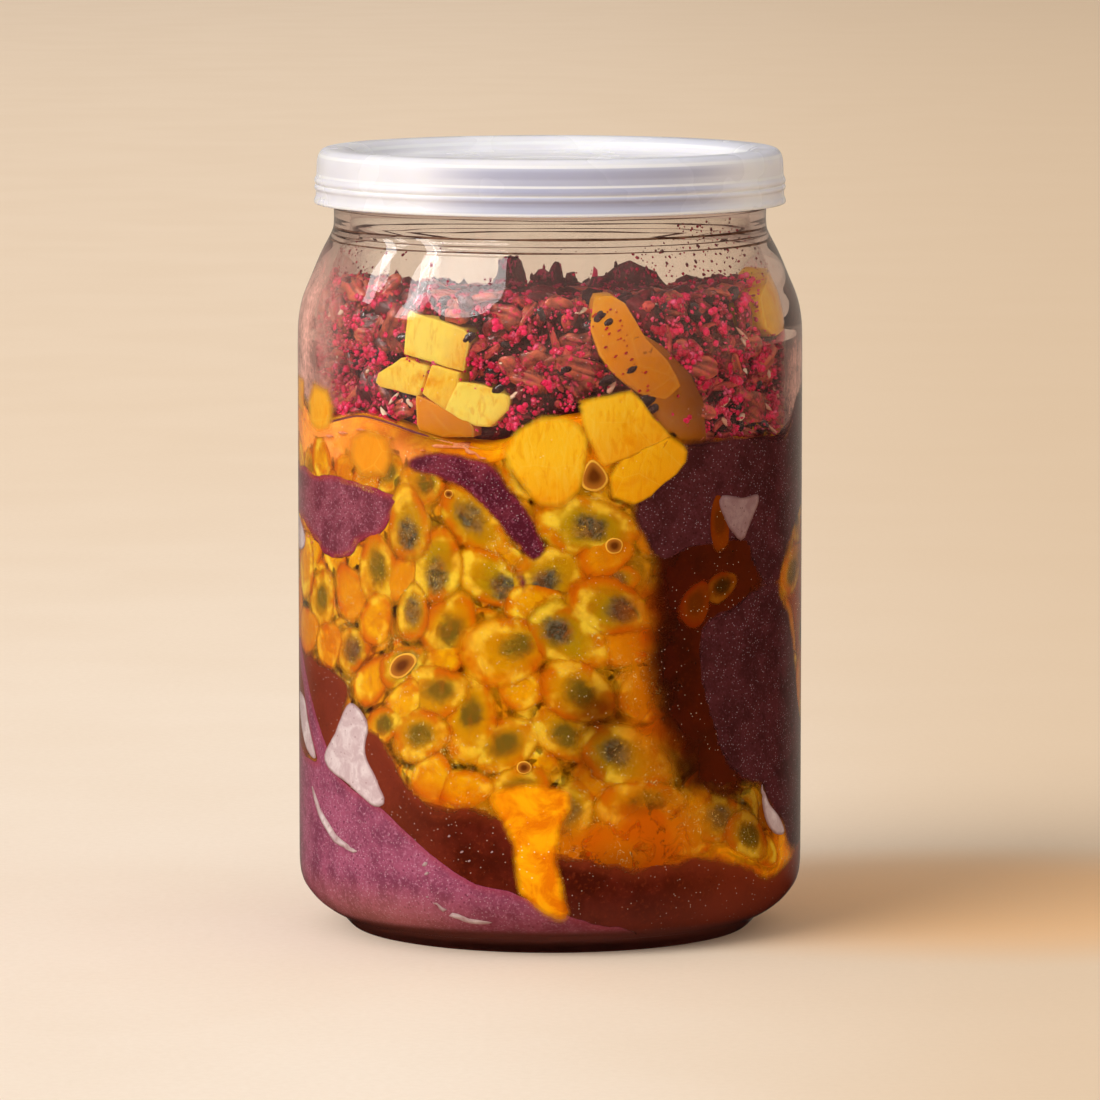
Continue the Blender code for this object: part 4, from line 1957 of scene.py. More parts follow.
FRONT_SACS = (
    Sac(-35, 69, 10.5, 6.6, 96, Tone.SLATE, -0.15),
    Sac(-27, 63.2, 10.5, 7.4, 84, Tone.DARK, -0.2),
    Sac(-17.5, 69.8, 12.0, 7.0, -48, Tone.SLATE, -0.1),
    Sac(-44, 61.5, 10.0, 7.0, 100, Tone.OLIVE),
    Sac(-14, 61, 10.5, 6.4, -32, Tone.DARK, 0.28),
    Sac(-33.5, 55.2, 8.0, 5.0, 84, Tone.SLATE),
    Sac(-23.5, 53, 10.0, 8.2, 70, Tone.OLIVE, -0.05),
    Sac(-44.5, 53.5, 7.6, 5.6, 70, Tone.GOLD),
    Sac(-53, 48, 7.6, 6.0, 20, Tone.SLATE),
    Sac(-63, 48, 7.4, 6.4, 40, Tone.GOLD),
    Sac(-36.5, 46.4, 8.4, 5.0, 34, Tone.DARK, 0.1),
    Sac(-45.5, 43.6, 9.0, 5.0, 42, Tone.GOLD),
    Sac(-28, 42.4, 11.0, 7.6, 18, Tone.OLIVE, 0.1),
    Sac(-18.6, 39.4, 13.5, 6.8, 84, Tone.OLIVE, 0.0),
    Sac(-9.5, 49.8, 13.5, 9.2, 22, Tone.OLIVE, 0.1),
    Sac(1.2, 61.8, 12.5, 8.0, 36, Tone.SLATE, -0.18),
    Sac(4.2, 51.6, 12.5, 8.0, -36, Tone.DARK, -0.16),
    Sac(-6.2, 43.6, 6.6, 6.0, 10, Tone.GOLD),
    Sac(-31.5, 35.6, 9.0, 7.0, 12, Tone.OLIVE),
    Sac(-28, 28.8, 7.4, 6.6, 80, Tone.GOLD),
    Sac(-10.5, 34.6, 11.0, 7.0, 24, Tone.OLIVE),
    Sac(-20, 27.2, 8.0, 5.6, 14, Tone.GOLD),
    Sac(-7, 27.4, 9.0, 6.4, 30, Tone.OLIVE),
    Sac(9.2, 69.2, 14.0, 7.8, -14, Tone.DARK, 0.0),
    Sac(15.5, 60.4, 7.0, 4.8, 10, Tone.SLATE, 0.0),
    Sac(14.5, 56.4, 12.5, 7.4, -18, Tone.DARK, 0.14),
    Sac(18, 50.6, 9.5, 6.0, -14, Tone.AMBER, 0.1),
    Sac(6.8, 42.8, 11.0, 7.8, -32, Tone.OLIVE, 0.0),
    Sac(23.2, 42.6, 8.6, 7.4, 60, Tone.GOLD),
    Sac(3.8, 36.2, 11.5, 6.6, -38, Tone.OLIVE),
    Sac(18.5, 32.2, 14.0, 8.4, -28, Tone.DARK, -0.15),
    Sac(4, 23.4, 10.5, 7.4, 66, Tone.SLATE),
    Sac(22, 24.8, 13.0, 6.6, 2, Tone.OLIVE, 0.05),
    Sac(36, 25.2, 8.0, 6.0, 70, Tone.GOLD),
    Sac(44, 28.4, 6.4, 4.6, -20, Tone.DARK),
    Sac(43.6, 21.4, 11.0, 6.6, -10, Tone.SLATE, 0.0),
    Sac(53.5, 17.6, 10.0, 5.8, -34, Tone.OLIVE),
    Sac(61.5, 14.6, 6.4, 4.2, -30, Tone.GOLD),
    Sac(45, 58, 7.0, 4.0, 4, Tone.FAINT),
    Sac(15.5, 19.4, 10.0, 5.4, 6, Tone.AMBER),
    Sac(34.5, 19, 8.0, 5.4, -20, Tone.GOLD),
    Sac(-78, 60, 9.5, 8.0, 70, Tone.GOLD),
    Sac(-66.5, 55.4, 9.0, 7.4, 50, Tone.OLIVE),
    Sac(-76, 49.4, 9.5, 6.4, 10, Tone.AMBER),
    Sac(-54, 57.4, 8.0, 6.4, 120, Tone.AMBER),
    Sac(-42, 36.6, 7.0, 4.6, 30, Tone.OLIVE),
    Sac(-4, 57, 7.6, 5.6, 20, Tone.GOLD),
    Sac(12, 28.6, 8.6, 5.6, -20, Tone.AMBER),
    Sac(-37, 60.6, 7.0, 4.6, 60, Tone.AMBER),
    Sac(25, 69, 8.0, 5.0, 80, Tone.AMBER),
    Sac(13, 64.6, 8.0, 5.0, 20, Tone.AMBER),
    Sac(-25, 47.8, 8.0, 4.6, 40, Tone.GOLD),
    Sac(-36, 40.4, 7.2, 5.0, 60, Tone.GOLD),
)


GLIMPSES = (
    Sac(44.0, 58.6, 6.4, 4.2, 20, Tone.OLIVE),
    Sac(36.0, 56.4, 7.0, 4.8, 60, Tone.FAINT),
    Sac(43.0, 69.0, 8.0, 3.6, 96, Tone.FAINT),
)


SWELL = 1.66

# The most of each colour, and its soft spots: weight, azimuth, height, half width, half height.
# The dusky spots are painted shade.
MOODS = {
    "rosy": (0.9, ((1.0, -58, 60, 16, 8), (0.8, -66, 81, 22, 5), (0.5, -38, 79, 8, 3))),
    "red": (
        0.8,
        (
            (1.0, 14, 17, 20, 5.5), (0.75, 24, 45, 7, 18), (0.5, -62, 49, 9, 3),
            (0.5, 30, 21, 12, 5), (0.5, -24, 25, 14, 3),
        ),
    ),
    "dusky": (
        0.95,
        (
            (1.0, 38, 54, 11, 19), (0.9, 33, 35, 7, 7), (1.1, 11, 39.5, 6, 4.5),
            (0.6, 8, 31, 6, 3), (0.9, -28, 84, 12, 3), (0.8, 38, 84, 9, 5), (0.5, 27, 60, 4, 16),
            (0.75, 60, 21, 9, 6), (0.6, 16, 15, 14, 3), (0.4, 50, 24, 6, 5),
            (0.85, 86, 56, 12, 14),
        ),
    ),
}


def moods(azimuth: np.ndarray, height: np.ndarray) -> dict[str, np.ndarray]:
    """Where the fruit pulp is rosy or red, and where painted shade makes it brown.

    Args:
        azimuth: Azimuths of the places.
        height: Their heights.

    Returns:
        The share of each colour at each place.
    """
    shares = {}
    for mood, (most, spots) in MOODS.items():
        share = np.zeros(azimuth.shape)
        for weight, at, level, wide, tall in spots:
            off = (azimuth - at + 180) % 360 - 180
            share += weight * np.exp(-((off / wide) ** 2) - ((height - level) / tall) ** 2)
        shares[mood] = np.clip(share, 0, most)
    return shares


def dome(sac: Sac, proud: float, seed: int, taper: float = 0.26, swell: float = SWELL) -> Shell:
    """One sac as a closed dome that is pressed flat on the wall.

    Args:
        sac: Its place, size, turn and tone.
        proud: How far its middle reaches into the wall.
        seed: Which unevenness it has.
        taper: How much narrower its pointed end is.
        swell: How much larger the fading jelly is than the sac.

    Returns:
        The dome, marked with what its finish reads.
    """
    rings, steps = 11, 22
    share = np.repeat(np.linspace(0, 1, rings + 1)[1:], steps)
    angle = np.tile(np.arange(steps) * 2 * np.pi / steps, rings)
    share, angle = np.concatenate([[0.0], share]), np.concatenate([[0.0], angle])
    spot = np.stack([np.cos(angle), np.sin(angle), np.zeros_like(angle)], 1)
    reach = share * (1 + 0.09 * lumps(spot * share[:, None] * 2, 1.1, seed))
    along = swell * reach * np.cos(angle) * sac.length / 2
    across = swell * reach * np.sin(angle) * sac.width / 2 * (1 - taper * np.cos(angle))
    turn = math.radians(sac.turn)
    right = along * math.cos(turn) - across * math.sin(turn)
    up = along * math.sin(turn) + across * math.cos(turn)
    azimuth = sac.azimuth + right / WALL.per_degree()
    height = np.maximum(sac.height + up, 5.0)
    radius = WALL.at(height) + proud - 0.1 * share**2 - 1.6 * np.clip(share - 0.93, 0, 1) / 0.07
    points = around(azimuth, height, radius)
    back = around(np.array([sac.azimuth]), np.array([sac.height]), np.array([34.0]))
    faces: list[tuple[int, ...]] = []
    for step in range(steps):
        ahead = (step + 1) % steps
        faces.append((0, 1 + step, 1 + ahead))
        for ring in range(rings - 1):
            low, high = 1 + ring * steps, 1 + (ring + 1) * steps
            faces.append((low + step, high + step, high + ahead, low + ahead))
        last = 1 + (rings - 1) * steps
        faces.append((len(points), last + ahead, last + step))
    dark, tone = sac.tone.value
    stone = np.hypot(
        (along - sac.seed_at * sac.length) / (2.6 * min(1.0, sac.length / 10)),
        across / (1.9 * min(1.0, sac.width / 6)),
    )
    mood = moods(np.append(azimuth, 0.0), np.append(height, 0.0))
    return Shell(np.concatenate([points, back]), faces).marked(
        red=mood["red"],
        dusky=mood["dusky"],
        rim=np.append(share, 1.0),
        seed=np.append(stone, 3.0),
        dark=dark,
        tone=tone,
    )


def jittered_sacs(
    seed: int,
    spots: Iterable[tuple[float, float]],
    stray: tuple[float, float],
    lengths: tuple[float, float],
    widths: tuple[float, float],
    tones: Sequence[Tone],
) -> list[Sac]:
    """Sacs near the spots of a grid, each turned and sized by chance.

    Args:
        seed: Which chance.
        spots: Height and azimuth of each spot.
        stray: How far a sac may be from its spot, in azimuth and in height.
        lengths: The least and the greatest length.
        widths: The least and the greatest width.
        tones: The tones to choose from.

    Returns:
        The sacs.
    """
    chance = np.random.default_rng(seed)
    aside, rise = stray
    return [
        Sac(
            azimuth + chance.uniform(-aside, aside),
            level + chance.uniform(-rise, rise),
            chance.uniform(*lengths),
            chance.uniform(*widths),
            chance.uniform(-90, 90),
            chance.choice(tones),
            chance.uniform(-0.2, 0.2),
        )
        for level, azimuth in spots
    ]


@dataclass
class PassionPulp:
    """The passion fruit: an amber jelly body, the drip in front, and the sacs with their seeds."""

    depth: float = 0.34
    steps: int = 240

    def body(self) -> Shell:
        """The jelly body, from the floor to the top of what is wet.

        Returns:
            The shell.
        """
        azimuth = np.arange(self.steps) * 360 / self.steps - 180
        wet = WET_TOP.level(azimuth)
        heel = np.array((4.9, 5.3, 6.0, 7.0, 8.4, 10.0))
        rows = [np.full(self.steps, height) for height in heel]
        for share in np.linspace(0, 1, 72):
            rows.append(11.5 + (wet - 11.5) * share)
        heights = np.stack(rows, 1)
        radii = WALL.at(heights) - self.depth
        places = around(azimuth[:, None], heights, radii).reshape(-1, 3)
        swell = 0.12 * lumps(places, 6.0, 3) + 0.08 * lumps(places, 2.4, 4)
        radii = radii + swell.reshape(radii.shape)
        radii[:, -1] = WALL.radius + 0.06
        radii[:, -2] = WALL.radius + 0.06
        top = np.stack([wet + 0.2, wet * 0.5 + 42.5, np.full(self.steps, 85.0)], 1)
        inward = np.array((36.0, 18.0, 0.0))
        bottom = np.full((self.steps, 1), 4.9)
        return turned(
            np.concatenate([bottom * 0, radii, np.tile(inward, (self.steps, 1))], 1),
            np.concatenate([bottom, heights, top], 1),
        )

    def toned(self, shell: Shell) -> Shell:
        """Marks where the jelly is rosy or red, and where painted shade makes it brown."""
        azimuth, height, _ = polar(shell.points)
        return shell.marked(within=6.0, **moods(azimuth, height))

    def side_sacs(self) -> list[Sac]:
        """Sacs round the sides and the back.

        Returns:
            The sacs.
        """
        spots = itertools.product(range(26, 82, 8), np.arange(78, 284, 13))
        return jittered_sacs(11, spots, (4, 2.5), (8, 12.5), (5.5, 8), list(Tone)[:5])

    def filling_sacs(self) -> list[Sac]:
        """Small sacs that show between the large ones at the front.

        Returns:
            The sacs.
        """
        spots = [
            (level, azimuth)
            for row, level in enumerate(np.arange(21, 78, 4.6))
            for azimuth in np.arange(-84, 64, 9) + 4.5 * (row % 2)
        ]
        tones = (Tone.GOLD, Tone.GOLD, Tone.AMBER, Tone.OLIVE)
        return jittered_sacs(23, spots, (2.5, 1.2), (5.5, 9), (4.2, 6), tones)

    def veil(self) -> Shell:
        """The thin jelly over the sacs.

        Returns:
            The shell, with its marks.
        """

        def wet(azimuth: np.ndarray, height: np.ndarray) -> np.ndarray:
            """Depth within the wet part of the wall."""
            return np.minimum(height - 9.0, WET_TOP.level(azimuth) - height - 0.5)

        shell = Sheet(wet, low=8, high=92, proud=0.11, thick=0.1, rounding=0.0).shell()
        azimuth, height, _ = polar(shell.points)
        return shell.marked(**moods(azimuth, height))

    def build(self) -> None:
        """Makes the pulp."""
        finish = FruitPulp().make()
        place(
            self.toned(self.body()),
            "passion_pulp_body",
            finish,
            ["passion_pulp"],
        )
        drip = Sheet(grown(PULP_DRIP, 1.1), low=5, high=30, proud=0.22, rounding=0.0).shell()
        drip.marked(rosy=0.0, red=0.05, dusky=0.0)
        pocket = Sheet(RIGHT_PULP, low=30, high=70, proud=0.02).shell()
        # The pocket on the right: red, with painted shade.
        pocket.marked(rosy=0.1, red=0.6, dusky=0.85)
        place(
            Shell.joined([drip, pocket]),
            "passion_pulp_drip_and_pocket",
            finish,
            ["pulp_pocket"],
        )
        sacs = [*FRONT_SACS, *self.side_sacs()]
        domes = [
            dome(sac, 0.1 - 0.02 * (number * 4 % 9), number)
            for number, sac in enumerate(sacs)
        ]
        domes += [
            dome(sac, -0.1 - 0.02 * (number * 3 % 7), 400 + number)
            for number, sac in enumerate(self.filling_sacs())
        ]
        # Glimpsed sacs, darkened by the painted shade mark.
        domes += [
            dome(sac, 0.18, 700 + number).marked(dusky=0.9, red=0.3)
            for number, sac in enumerate(GLIMPSES)
        ]
        place(Shell.joined(domes), "passion_fruit_sacs", SeedSac().make())
        place(self.veil(), "jelly_veil", JellyVeil().make())


@dataclass(frozen=True)
class Chunk:
    """The place and size of one cut piece of mango, measured off its solid."""

    azimuth: float
    height: float
    width: float
    tall: float
    deep: float
    turn: float
    outer: float

    @staticmethod
    def measured(node: str) -> "Chunk":
        """Measures the solid of a node.

        Args:
            node: The node's name.

        Returns:
            Its place and size.
        """
        shell = Shell.read(frame["nodes"][node].data)
        azimuth, height, radius = polar(shell.points)
        middle = (azimuth.min() + azimuth.max()) / 2, (height.min() + height.max()) / 2
        flat = np.stack([(azimuth - middle[0]) * WALL.per_degree(), height - middle[1]], 1)
        flat = flat[radius > radius.max() - 2.5]
        best = (math.inf, 0.0, np.zeros(2), np.zeros(2))
        for turn in np.arange(-45, 45, 1.0):
            angle = math.radians(turn)
            axes = np.array(
                ((math.cos(angle), -math.sin(angle)), (math.sin(angle), math.cos(angle)))
            )
            low, high = (flat @ axes).min(0), (flat @ axes).max(0)
            area = float(np.prod(high - low))
            if area < best[0]:
                best = (area, turn, high - low, (high + low) / 2 @ axes.T)
        _, turn, sides, off = best
        return Chunk(
            middle[0] + off[0] / WALL.per_degree(),
            middle[1] + off[1],
            sides[0],
            sides[1],
            float(np.ptp(radius)),
            turn,
            radius.max(),
        )


def cut_block(outline: Corners, deep: float, corner: float, seed: int, cuts: int = 12) -> Shell:
    """A block with rounded edges and uneven, hand-cut sides.

    Args:
        outline: Its outline as seen from the front, anticlockwise about the origin.
        deep: Its depth.
        corner: Radius of its edges.
        seed: Which unevenness.
        cuts: Faces along each side.

    Returns:
        The shell, about the origin, marked with how near its points are to an edge.
    """
    shape = bmesh.new()
    bmesh.ops.create_cube(shape, size=2.0)
    bmesh.ops.subdivide_edges(shape, edges=shape.edges, cuts=cuts, use_grid_fill=True)
    cube = np.array([spot.co[:] for spot in shape.verts])
    faces = [tuple(spot.index for spot in face.verts) for face in shape.faces]
    shape.free()
    cube = np.sign(cube) * np.abs(cube) ** 0.75
    line = np.array(outline, float)
    share = np.linspace(0, 1, 16, endpoint=False)[None, :, None]
    ahead = np.roll(line, -1, 0)
    rim = (line[:, None] * (1 - share) + ahead[:, None] * share).reshape(-1, 2)
    turn = np.arctan2(rim[:, 1], rim[:, 0])
    order = np.argsort(turn)
    way = np.arctan2(cube[:, 1], cube[:, 0])
    border = np.interp(way, turn[order], np.hypot(*rim.T)[order], period=2 * np.pi)
    part = np.abs(cube[:, :2]).max(1)
    flat = part * border
    inner = np.minimum(flat, border - corner)
    level = cube[:, 2] * deep / 2
    core = np.clip(level, corner - deep / 2, deep / 2 - corner)
    away = np.hypot(flat - inner, level - core)
    pull = np.minimum(1.0, corner / np.maximum(away, 1e-9))
    flat, level = inner + (flat - inner) * pull, core + (level - core) * pull
    chance = np.random.default_rng(seed)
    lean = chance.uniform(-0.1, 0.1, 2)
    points = np.stack(
        [
            flat * np.cos(way) * (1 + lean[0] * cube[:, 2]) + lean[1] * level,
            flat * np.sin(way),
            level,
        ],
        1,
    )
    points += 0.14 * np.stack([lumps(points, 2.6, seed + k) for k in range(3)], 1)
    edge = np.sort(np.abs(cube), axis=1)[:, 1]
    return Shell(points, faces).marked(edge=np.clip((edge - 0.86) / 0.14, 0, 1), rim=part)


@dataclass
class MangoChunks:
    """The cut mango: wet pieces pressed on the glass and dry ones just inside it."""

    wet: tuple[int, ...] = (6, 7, 8, 12, 13, 14)
    corner: float = 0.45
    blended: Mapping[int, float] = field(
        default_factory=lambda: {6: 0.55, 7: 0.5, 8: 0.5, 12: 1.0, 13: 1.0, 14: 1.0}
    )
    outlines: Mapping[int, Corners] = field(
        default_factory=lambda: {
            1: (
                (-6.4, -1.2), (-1.5, -2.5), (3.5, -3.6), (4.5, 1.5), (3.8, 2.7), (-0.5, 3.9),
                (-6.2, 5.1),
            ),
            2: (
                (-6.3, 1.4), (-5.9, -0.2), (-1.9, -0.7), (2.3, -1.4), (3.4, 1.0), (4.1, 3.4),
                (-0.7, 4.7),
            ),
            3: ((-4.8, 0.2), (-0.3, -2.3), (1.6, 1.2), (2.1, 3.8), (-3.0, 4.8)),
            4: (
                (-5.7, 1.4), (-3.7, 0.0), (-1.3, -1.2), (0.8, -1.2), (3.6, 1.6), (3.7, 3.5),
                (2.4, 4.4), (-0.4, 5.3), (-3.8, 5.8),
            ),
            5: ((-4.6, 0.6), (-0.5, -0.6), (4.5, -0.2), (4.2, 2.1), (0.9, 3.9), (-4.7, 6.0)),
            6: (
                (-3.9, 3.7), (-4.7, 2.0), (-2.4, -1.5), (0.7, -5.4), (2.7, -6.6), (5.3, -6.2),
                (7.9, -3.7), (8.9, 1.1), (9.2, 5.2), (8.2, 7.1), (5.5, 8.4), (2.2, 8.9),
                (-1.9, 6.6),
            ),
            7: (
                (-3.1, -0.8), (-1.2, -4.4), (0.0, -6.9), (3.2, -6.0), (6.5, -4.6), (9.8, -4.7),
                (11.9, -1.9), (8.5, 0.6), (6.4, 3.7), (4.8, 5.6), (0.0, 4.5), (-3.7, 3.6),
            ),
            8: (
                (-4.4, 3.0), (-5.5, 0.5), (-5.1, -2.7), (-1.5, -4.1), (1.4, -2.9), (4.2, -0.5),
                (7.8, 1.5), (8.5, 4.7), (5.2, 6.9), (1.4, 5.5), (-2.2, 4.0),
            ),
            9: (
                (-2.1, 1.9), (-0.8, -2.2), (1.5, -5.4), (5.0, -8.2), (9.1, -9.3), (11.6, -7.1),
                (9.1, -2.8), (6.1, 0.1), (4.0, 3.9), (2.2, 6.6), (-1.2, 6.5),
            ),
            10: (
                (-2.9, -0.2), (-0.7, -5.3), (2.2, -9.4), (5.9, -11.7), (8.3, -10.2), (7.8, -4.1),
                (5.5, 0.4), (1.5, 4.7), (-3.2, 7.4),
            ),
            13: (
                (-5.4, 1.0), (-4.8, -3.4), (-0.6, -4.8), (4.2, -3.6), (5.6, 0.6), (3.4, 3.8),
                (-2.4, 4.6),
            ),
            14: (
                (-5.2, 2.6), (-5.6, -1.6), (-2.2, -4.6), (3.6, -4.2), (5.4, -0.4), (4.0, 3.4),
                (-0.6, 4.8),
            ),
            11: (
                (1.5, 4.4), (-5.3, 1.0), (-4.4, -2.8), (0.1, -4.2), (8.6, -3.0), (9.0, 2.4),
                (7.4, 5.8),
            ),
        }
    )
    pale: Mapping[int, float] = field(
        default_factory=lambda: {
            1: 0.9, 2: 0.8, 3: 0.5, 4: 1.0, 6: 0.12, 7: 0.16, 8: 0.05, 9: 0.0, 10: 0.0,
        }
    )
    # Share of riper orange, with painted shade across and down each piece: base, change across,
    # change up.
    ripe: Mapping[int, Slope] = field(
        default_factory=lambda: {
            1: (0.0, 0.1, -0.04),
            2: (0.1, -0.03, -0.12),
            3: (0.25, 0.08, -0.08),
            4: (0.05, 0.08, -0.06),
            5: (1.0, 0.0, 0.0),
            6: (0.1, 0.0, -0.07),
            7: (0.1, 0.02, -0.06),
            8: (0.35, 0.03, -0.04),
            9: (0.8, 0.04, -0.02),
            10: (1.0, 0.0, 0.0),
            11: (0.35, 0.0, 0.0),
            12: (0.6, 0.0, 0.0),
            13: (0.5, 0.0, 0.0),
            14: (0.8, 0.0, 0.0),
        }
    )
    shaded: Mapping[int, Slope] = field(
        default_factory=lambda: {
            3: (0.0, 0.0, -0.05),
            5: (0.3, 0.02, -0.05),
            9: (0.0, 0.02, -0.01),
            10: (0.62, 0.05, 0.02),
            11: (0.0, -0.01, 0.0),
        }
    )

    def piece(self, number: int) -> Shell:
        """One piece of mango.

        Args:
            number: Which piece.

        Returns:
            Its shell.
        """
        chunk = Chunk.measured(f"mango_{number:02d}")
        wide, tall = chunk.width / 2, chunk.tall / 2
        turn = math.radians(chunk.turn)
        if number in self.outlines:
            turn = 0.0
        square = ((wide, tall), (-wide, tall), (-wide, -tall), (wide, -tall))
        outline = np.array(self.outlines.get(number, square))
        middle = outline.mean(0)
        larger = 1.08 if number in self.wet else 1.03
        shell = cut_block((outline - middle) * larger, chunk.deep, self.corner, number)
        across, rise, out = (shell.points + (*middle, 0)).T
        side = across * math.cos(turn) - rise * math.sin(turn)
        up = across * math.sin(turn) + rise * math.cos(turn)
        if number in self.wet:
            height = chunk.height + up
            radius = WALL.at(height) + 0.2 - (chunk.deep / 2 - out)
            azimuth = chunk.azimuth + side / WALL.per_degree()
            shell.points = around(azimuth, height, radius)
        else:
            way = math.radians(chunk.azimuth)
            radius = chunk.outer - chunk.deep / 2 + out
            shell.points = np.stack(
                [
                    side * math.cos(way) + radius * math.sin(way),
                    side * math.sin(way) - radius * math.cos(way),
                    chunk.height + up,
                ],
                1,
            )
            shell.points = WALL.pressed(shell.points, 0.12)

        def sloped(slopes: Mapping[int, Slope]) -> np.ndarray:
            """A share that changes across and up the piece."""
            base, sideways, upwards = slopes.get(number, (0.0, 0.0, 0.0))
            return np.clip(base + sideways * across + upwards * rise, 0, 0.9)

        return shell.marked(
            pale=self.pale.get(number, 0.3),
            ripe=sloped(self.ripe),
            shade=sloped(self.shaded),
            blend=self.blended.get(number, 0.0),
        )

    def build(self) -> None:
        """Makes the pieces."""
        finish = RipeMango().make()
        for number in range(1, 15):
            node = f"mango_{number:02d}"
            place(self.piece(number), f"chunk_{node}", finish, [node])


def room_beside_mango(azimuth: np.ndarray, height: np.ndarray) -> np.ndarray:
    """How far places on the wall are from the mango that shows at the front of the topping.

    Args:
        azimuth: Azimuths of the places.
        height: Their heights.

    Returns:
        The distances, below 0 on a piece.
    """
    room = np.full(azimuth.shape, FIELD_REACH)
    outlines = MangoChunks().outlines
    for number in (1, 2, 3, 4, 5, 6, 7, 9, 11):
        chunk = Chunk.measured(f"mango_{number:02d}")
        corners = np.array(outlines[number]) / (WALL.per_degree(), 1)
        corners += (chunk.azimuth, chunk.height)
        rim = Outline(tuple(map(tuple, corners)), wobble=0.0)
        room = np.minimum(room, -rim(azimuth, height))
    return room


TOPPING_LOW = Shore(
    (
        (-150, 84), (-90, 89), (-80, 89.5), (-70, 87), (-60, 85.2), (-50, 85.6), (-43, 85.6),
        (-20, 84), (-10, 84.6), (0, 86), (10, 89), (20, 87.5), (30, 84), (45, 81.5), (60, 81),
        (70, 80), (80, 83), (90, 85), (150, 84),
    ),
    wobble=0.0,
)


TOPPING_BRIM = Shore(
    (
        (-120, 102.6), (-90, 104.8), (-62, 105.6), (-30, 104.6), (0, 103.4), (30, 103.6),
        (50, 104.6), (68, 105.4), (90, 104.2), (120, 101.8), (180, 100.6),
    ),
    wobble=0.0,
)


@dataclass(frozen=True)
class Heap:
    """The heap of topping: its core's side and uneven top, lower towards the back."""

    steps: int = 200
    middle: float = 102.0
    edge: float = 33.0
    floor: float = 80.0
    floor_radii: tuple[float, float] = (30.0, 34.5)

    def level(self, azimuth: np.ndarray, radius: float, lift: float) -> np.ndarray:
        """Height of the top at a distance from the axis.

        Args:
            azimuth: Azimuths of the places.
            radius: Their distance from the axis.
            lift: How much higher the top is.

        Returns:
            The heights.
        """
        share = (radius / self.edge) ** 2
        smooth = self.middle + share * (TOPPING_BRIM.level(azimuth) - self.middle)
        return smooth + lift + 1.3 * lumps(around(azimuth, 0.0, radius), 6.0, 6)

    def surface(self, inset: float, relief: float, lift: float = 0.0) -> Shell:
        """A closed body of the heap's form.

        Args:
            inset: How far its side stands in from the wall.
            relief: Size of its lumps.
            lift: How much higher its top is.

        Returns:
            The shell.
        """
        azimuth = np.arange(self.steps) * 360 / self.steps - 180
        low = TOPPING_LOW.level(azimuth)
        brim = self.level(azimuth, self.edge, lift)
        heights = [np.full(self.steps, self.floor), np.full(self.steps, self.floor), low - 1.5]
        radii = [np.zeros(self.steps), *(np.full(self.steps, r) for r in self.floor_radii)]
        for share in np.linspace(0, 1, 26):
            height = low + (brim - low) * share
            heights.append(height)
            radii.append(WALL.at(height) - inset)
        for radius in np.linspace(self.edge, 1.5, 16):
            heights.append(self.level(azimuth, radius, lift))
            radii.append(np.full(self.steps, radius))
        heights.append(np.full(self.steps, self.middle + lift))
        radii.append(np.zeros(self.steps))
        radii, heights = np.stack(radii, 1), np.stack(heights, 1)
        places = around(azimuth[:, None], heights, radii).reshape(-1, 3)
        swell = relief * (lumps(places, 3.4, 8) + 0.6 * lumps(places, 1.5, 9))
        radii[:, 3:-1] += swell.reshape(radii.shape)[:, 3:-1]
        return turned(np.maximum(radii, 0), heights)

    def skin(self, inset: float) -> bpy.types.Object:
        """The open skin on which loose pieces are scattered.

        Args:
            inset: How far it lies inside the wall.

        Returns:
            The skin, marked with the room for pieces.
        """
        closed = self.surface(inset, 0.0)
        count = len(closed.points) - 2
        rings = count // self.steps
        kept = [
            face
            for face in closed.faces
            if all(corner < count and corner % rings >= 2 for corner in face)
        ]
        azimuth, height, radius = polar(closed.points)
        room = room_beside_mango(azimuth, height) + np.clip(30 - radius, 0, 30)
        skin = Shell(closed.points, kept).marked(room=room)
        return skin.to_object("heap skin", bpy.data.materials.new("bare skin"))


@dataclass(frozen=True)
class GlassBand:
    """The bare glass over the heap, on which specks stick."""

    low: float = 106.5
    high: float = 117.5
    steps: int = 120

    def skin(self, inset: float) -> bpy.types.Object:
        """The open band on which specks are scattered.

        Args:
            inset: How far it lies inside the wall.

        Returns:
            The band, marked with how many specks it takes.
        """
        azimuth = np.arange(self.steps) * 360 / self.steps - 180
        heights = np.linspace(self.low, self.high, 16)
        places = around(azimuth[:, None], heights, WALL.at(heights) - inset).reshape(-1, 3)
        rows = len(heights)
        starts = [rows * i for i in range(self.steps)]
        faces = [
            (start + j, after + j, after + j + 1, start + j + 1)
            for start, after in zip(starts, starts[1:] + starts[:1])
            for j in range(rows - 1)
        ]
        at, height, _ = polar(places)
        right = np.exp(-(((at - 46) / 24) ** 2)) + 0.5 * np.exp(-(((at + 62) / 26) ** 2))
        crowd = 6 * right - 0.5 * (height - self.low) + 3.4 * lumps(places, 1.6, 4)
        skin = Shell(places, faces).marked(room=crowd)
        return skin.to_object("glass band", bpy.data.materials.new("bare band"))


@dataclass(frozen=True)
class Kind:
    """One kind of loose piece in the topping: its shapes, how many, how large, how turned."""

    name: str
    shapes: tuple[Shell, ...]
    finish: DryBit
    density: float
    smallest: float
    largest: float
    inset: float
    tilt: float
    seed: int
    clearance: float = 0.0
    clear: float = 0.08


def uneven(shell: Shell, size: Sequence[float], rough: float, seed: int) -> Shell:
    """Stretches a shell and gives it lumps.

    Args:
        shell: The shell, about the origin.
        size: Its half sizes.
        rough: Size of the lumps, as a share.
        seed: Which lumps.

    Returns:
        The shell.
    """
    rise = lumps(shell.points + 3, 0.7, seed) + lumps(shell.points, 0.35, seed + 9)
    points = shell.points * (1 + rough * rise)[:, None] * np.array(size)
    # Painted shade where the lumps sink in.
    return Shell(points, shell.faces).marked(hollow=np.clip(-rise * 0.9 - 0.1, 0, 1))


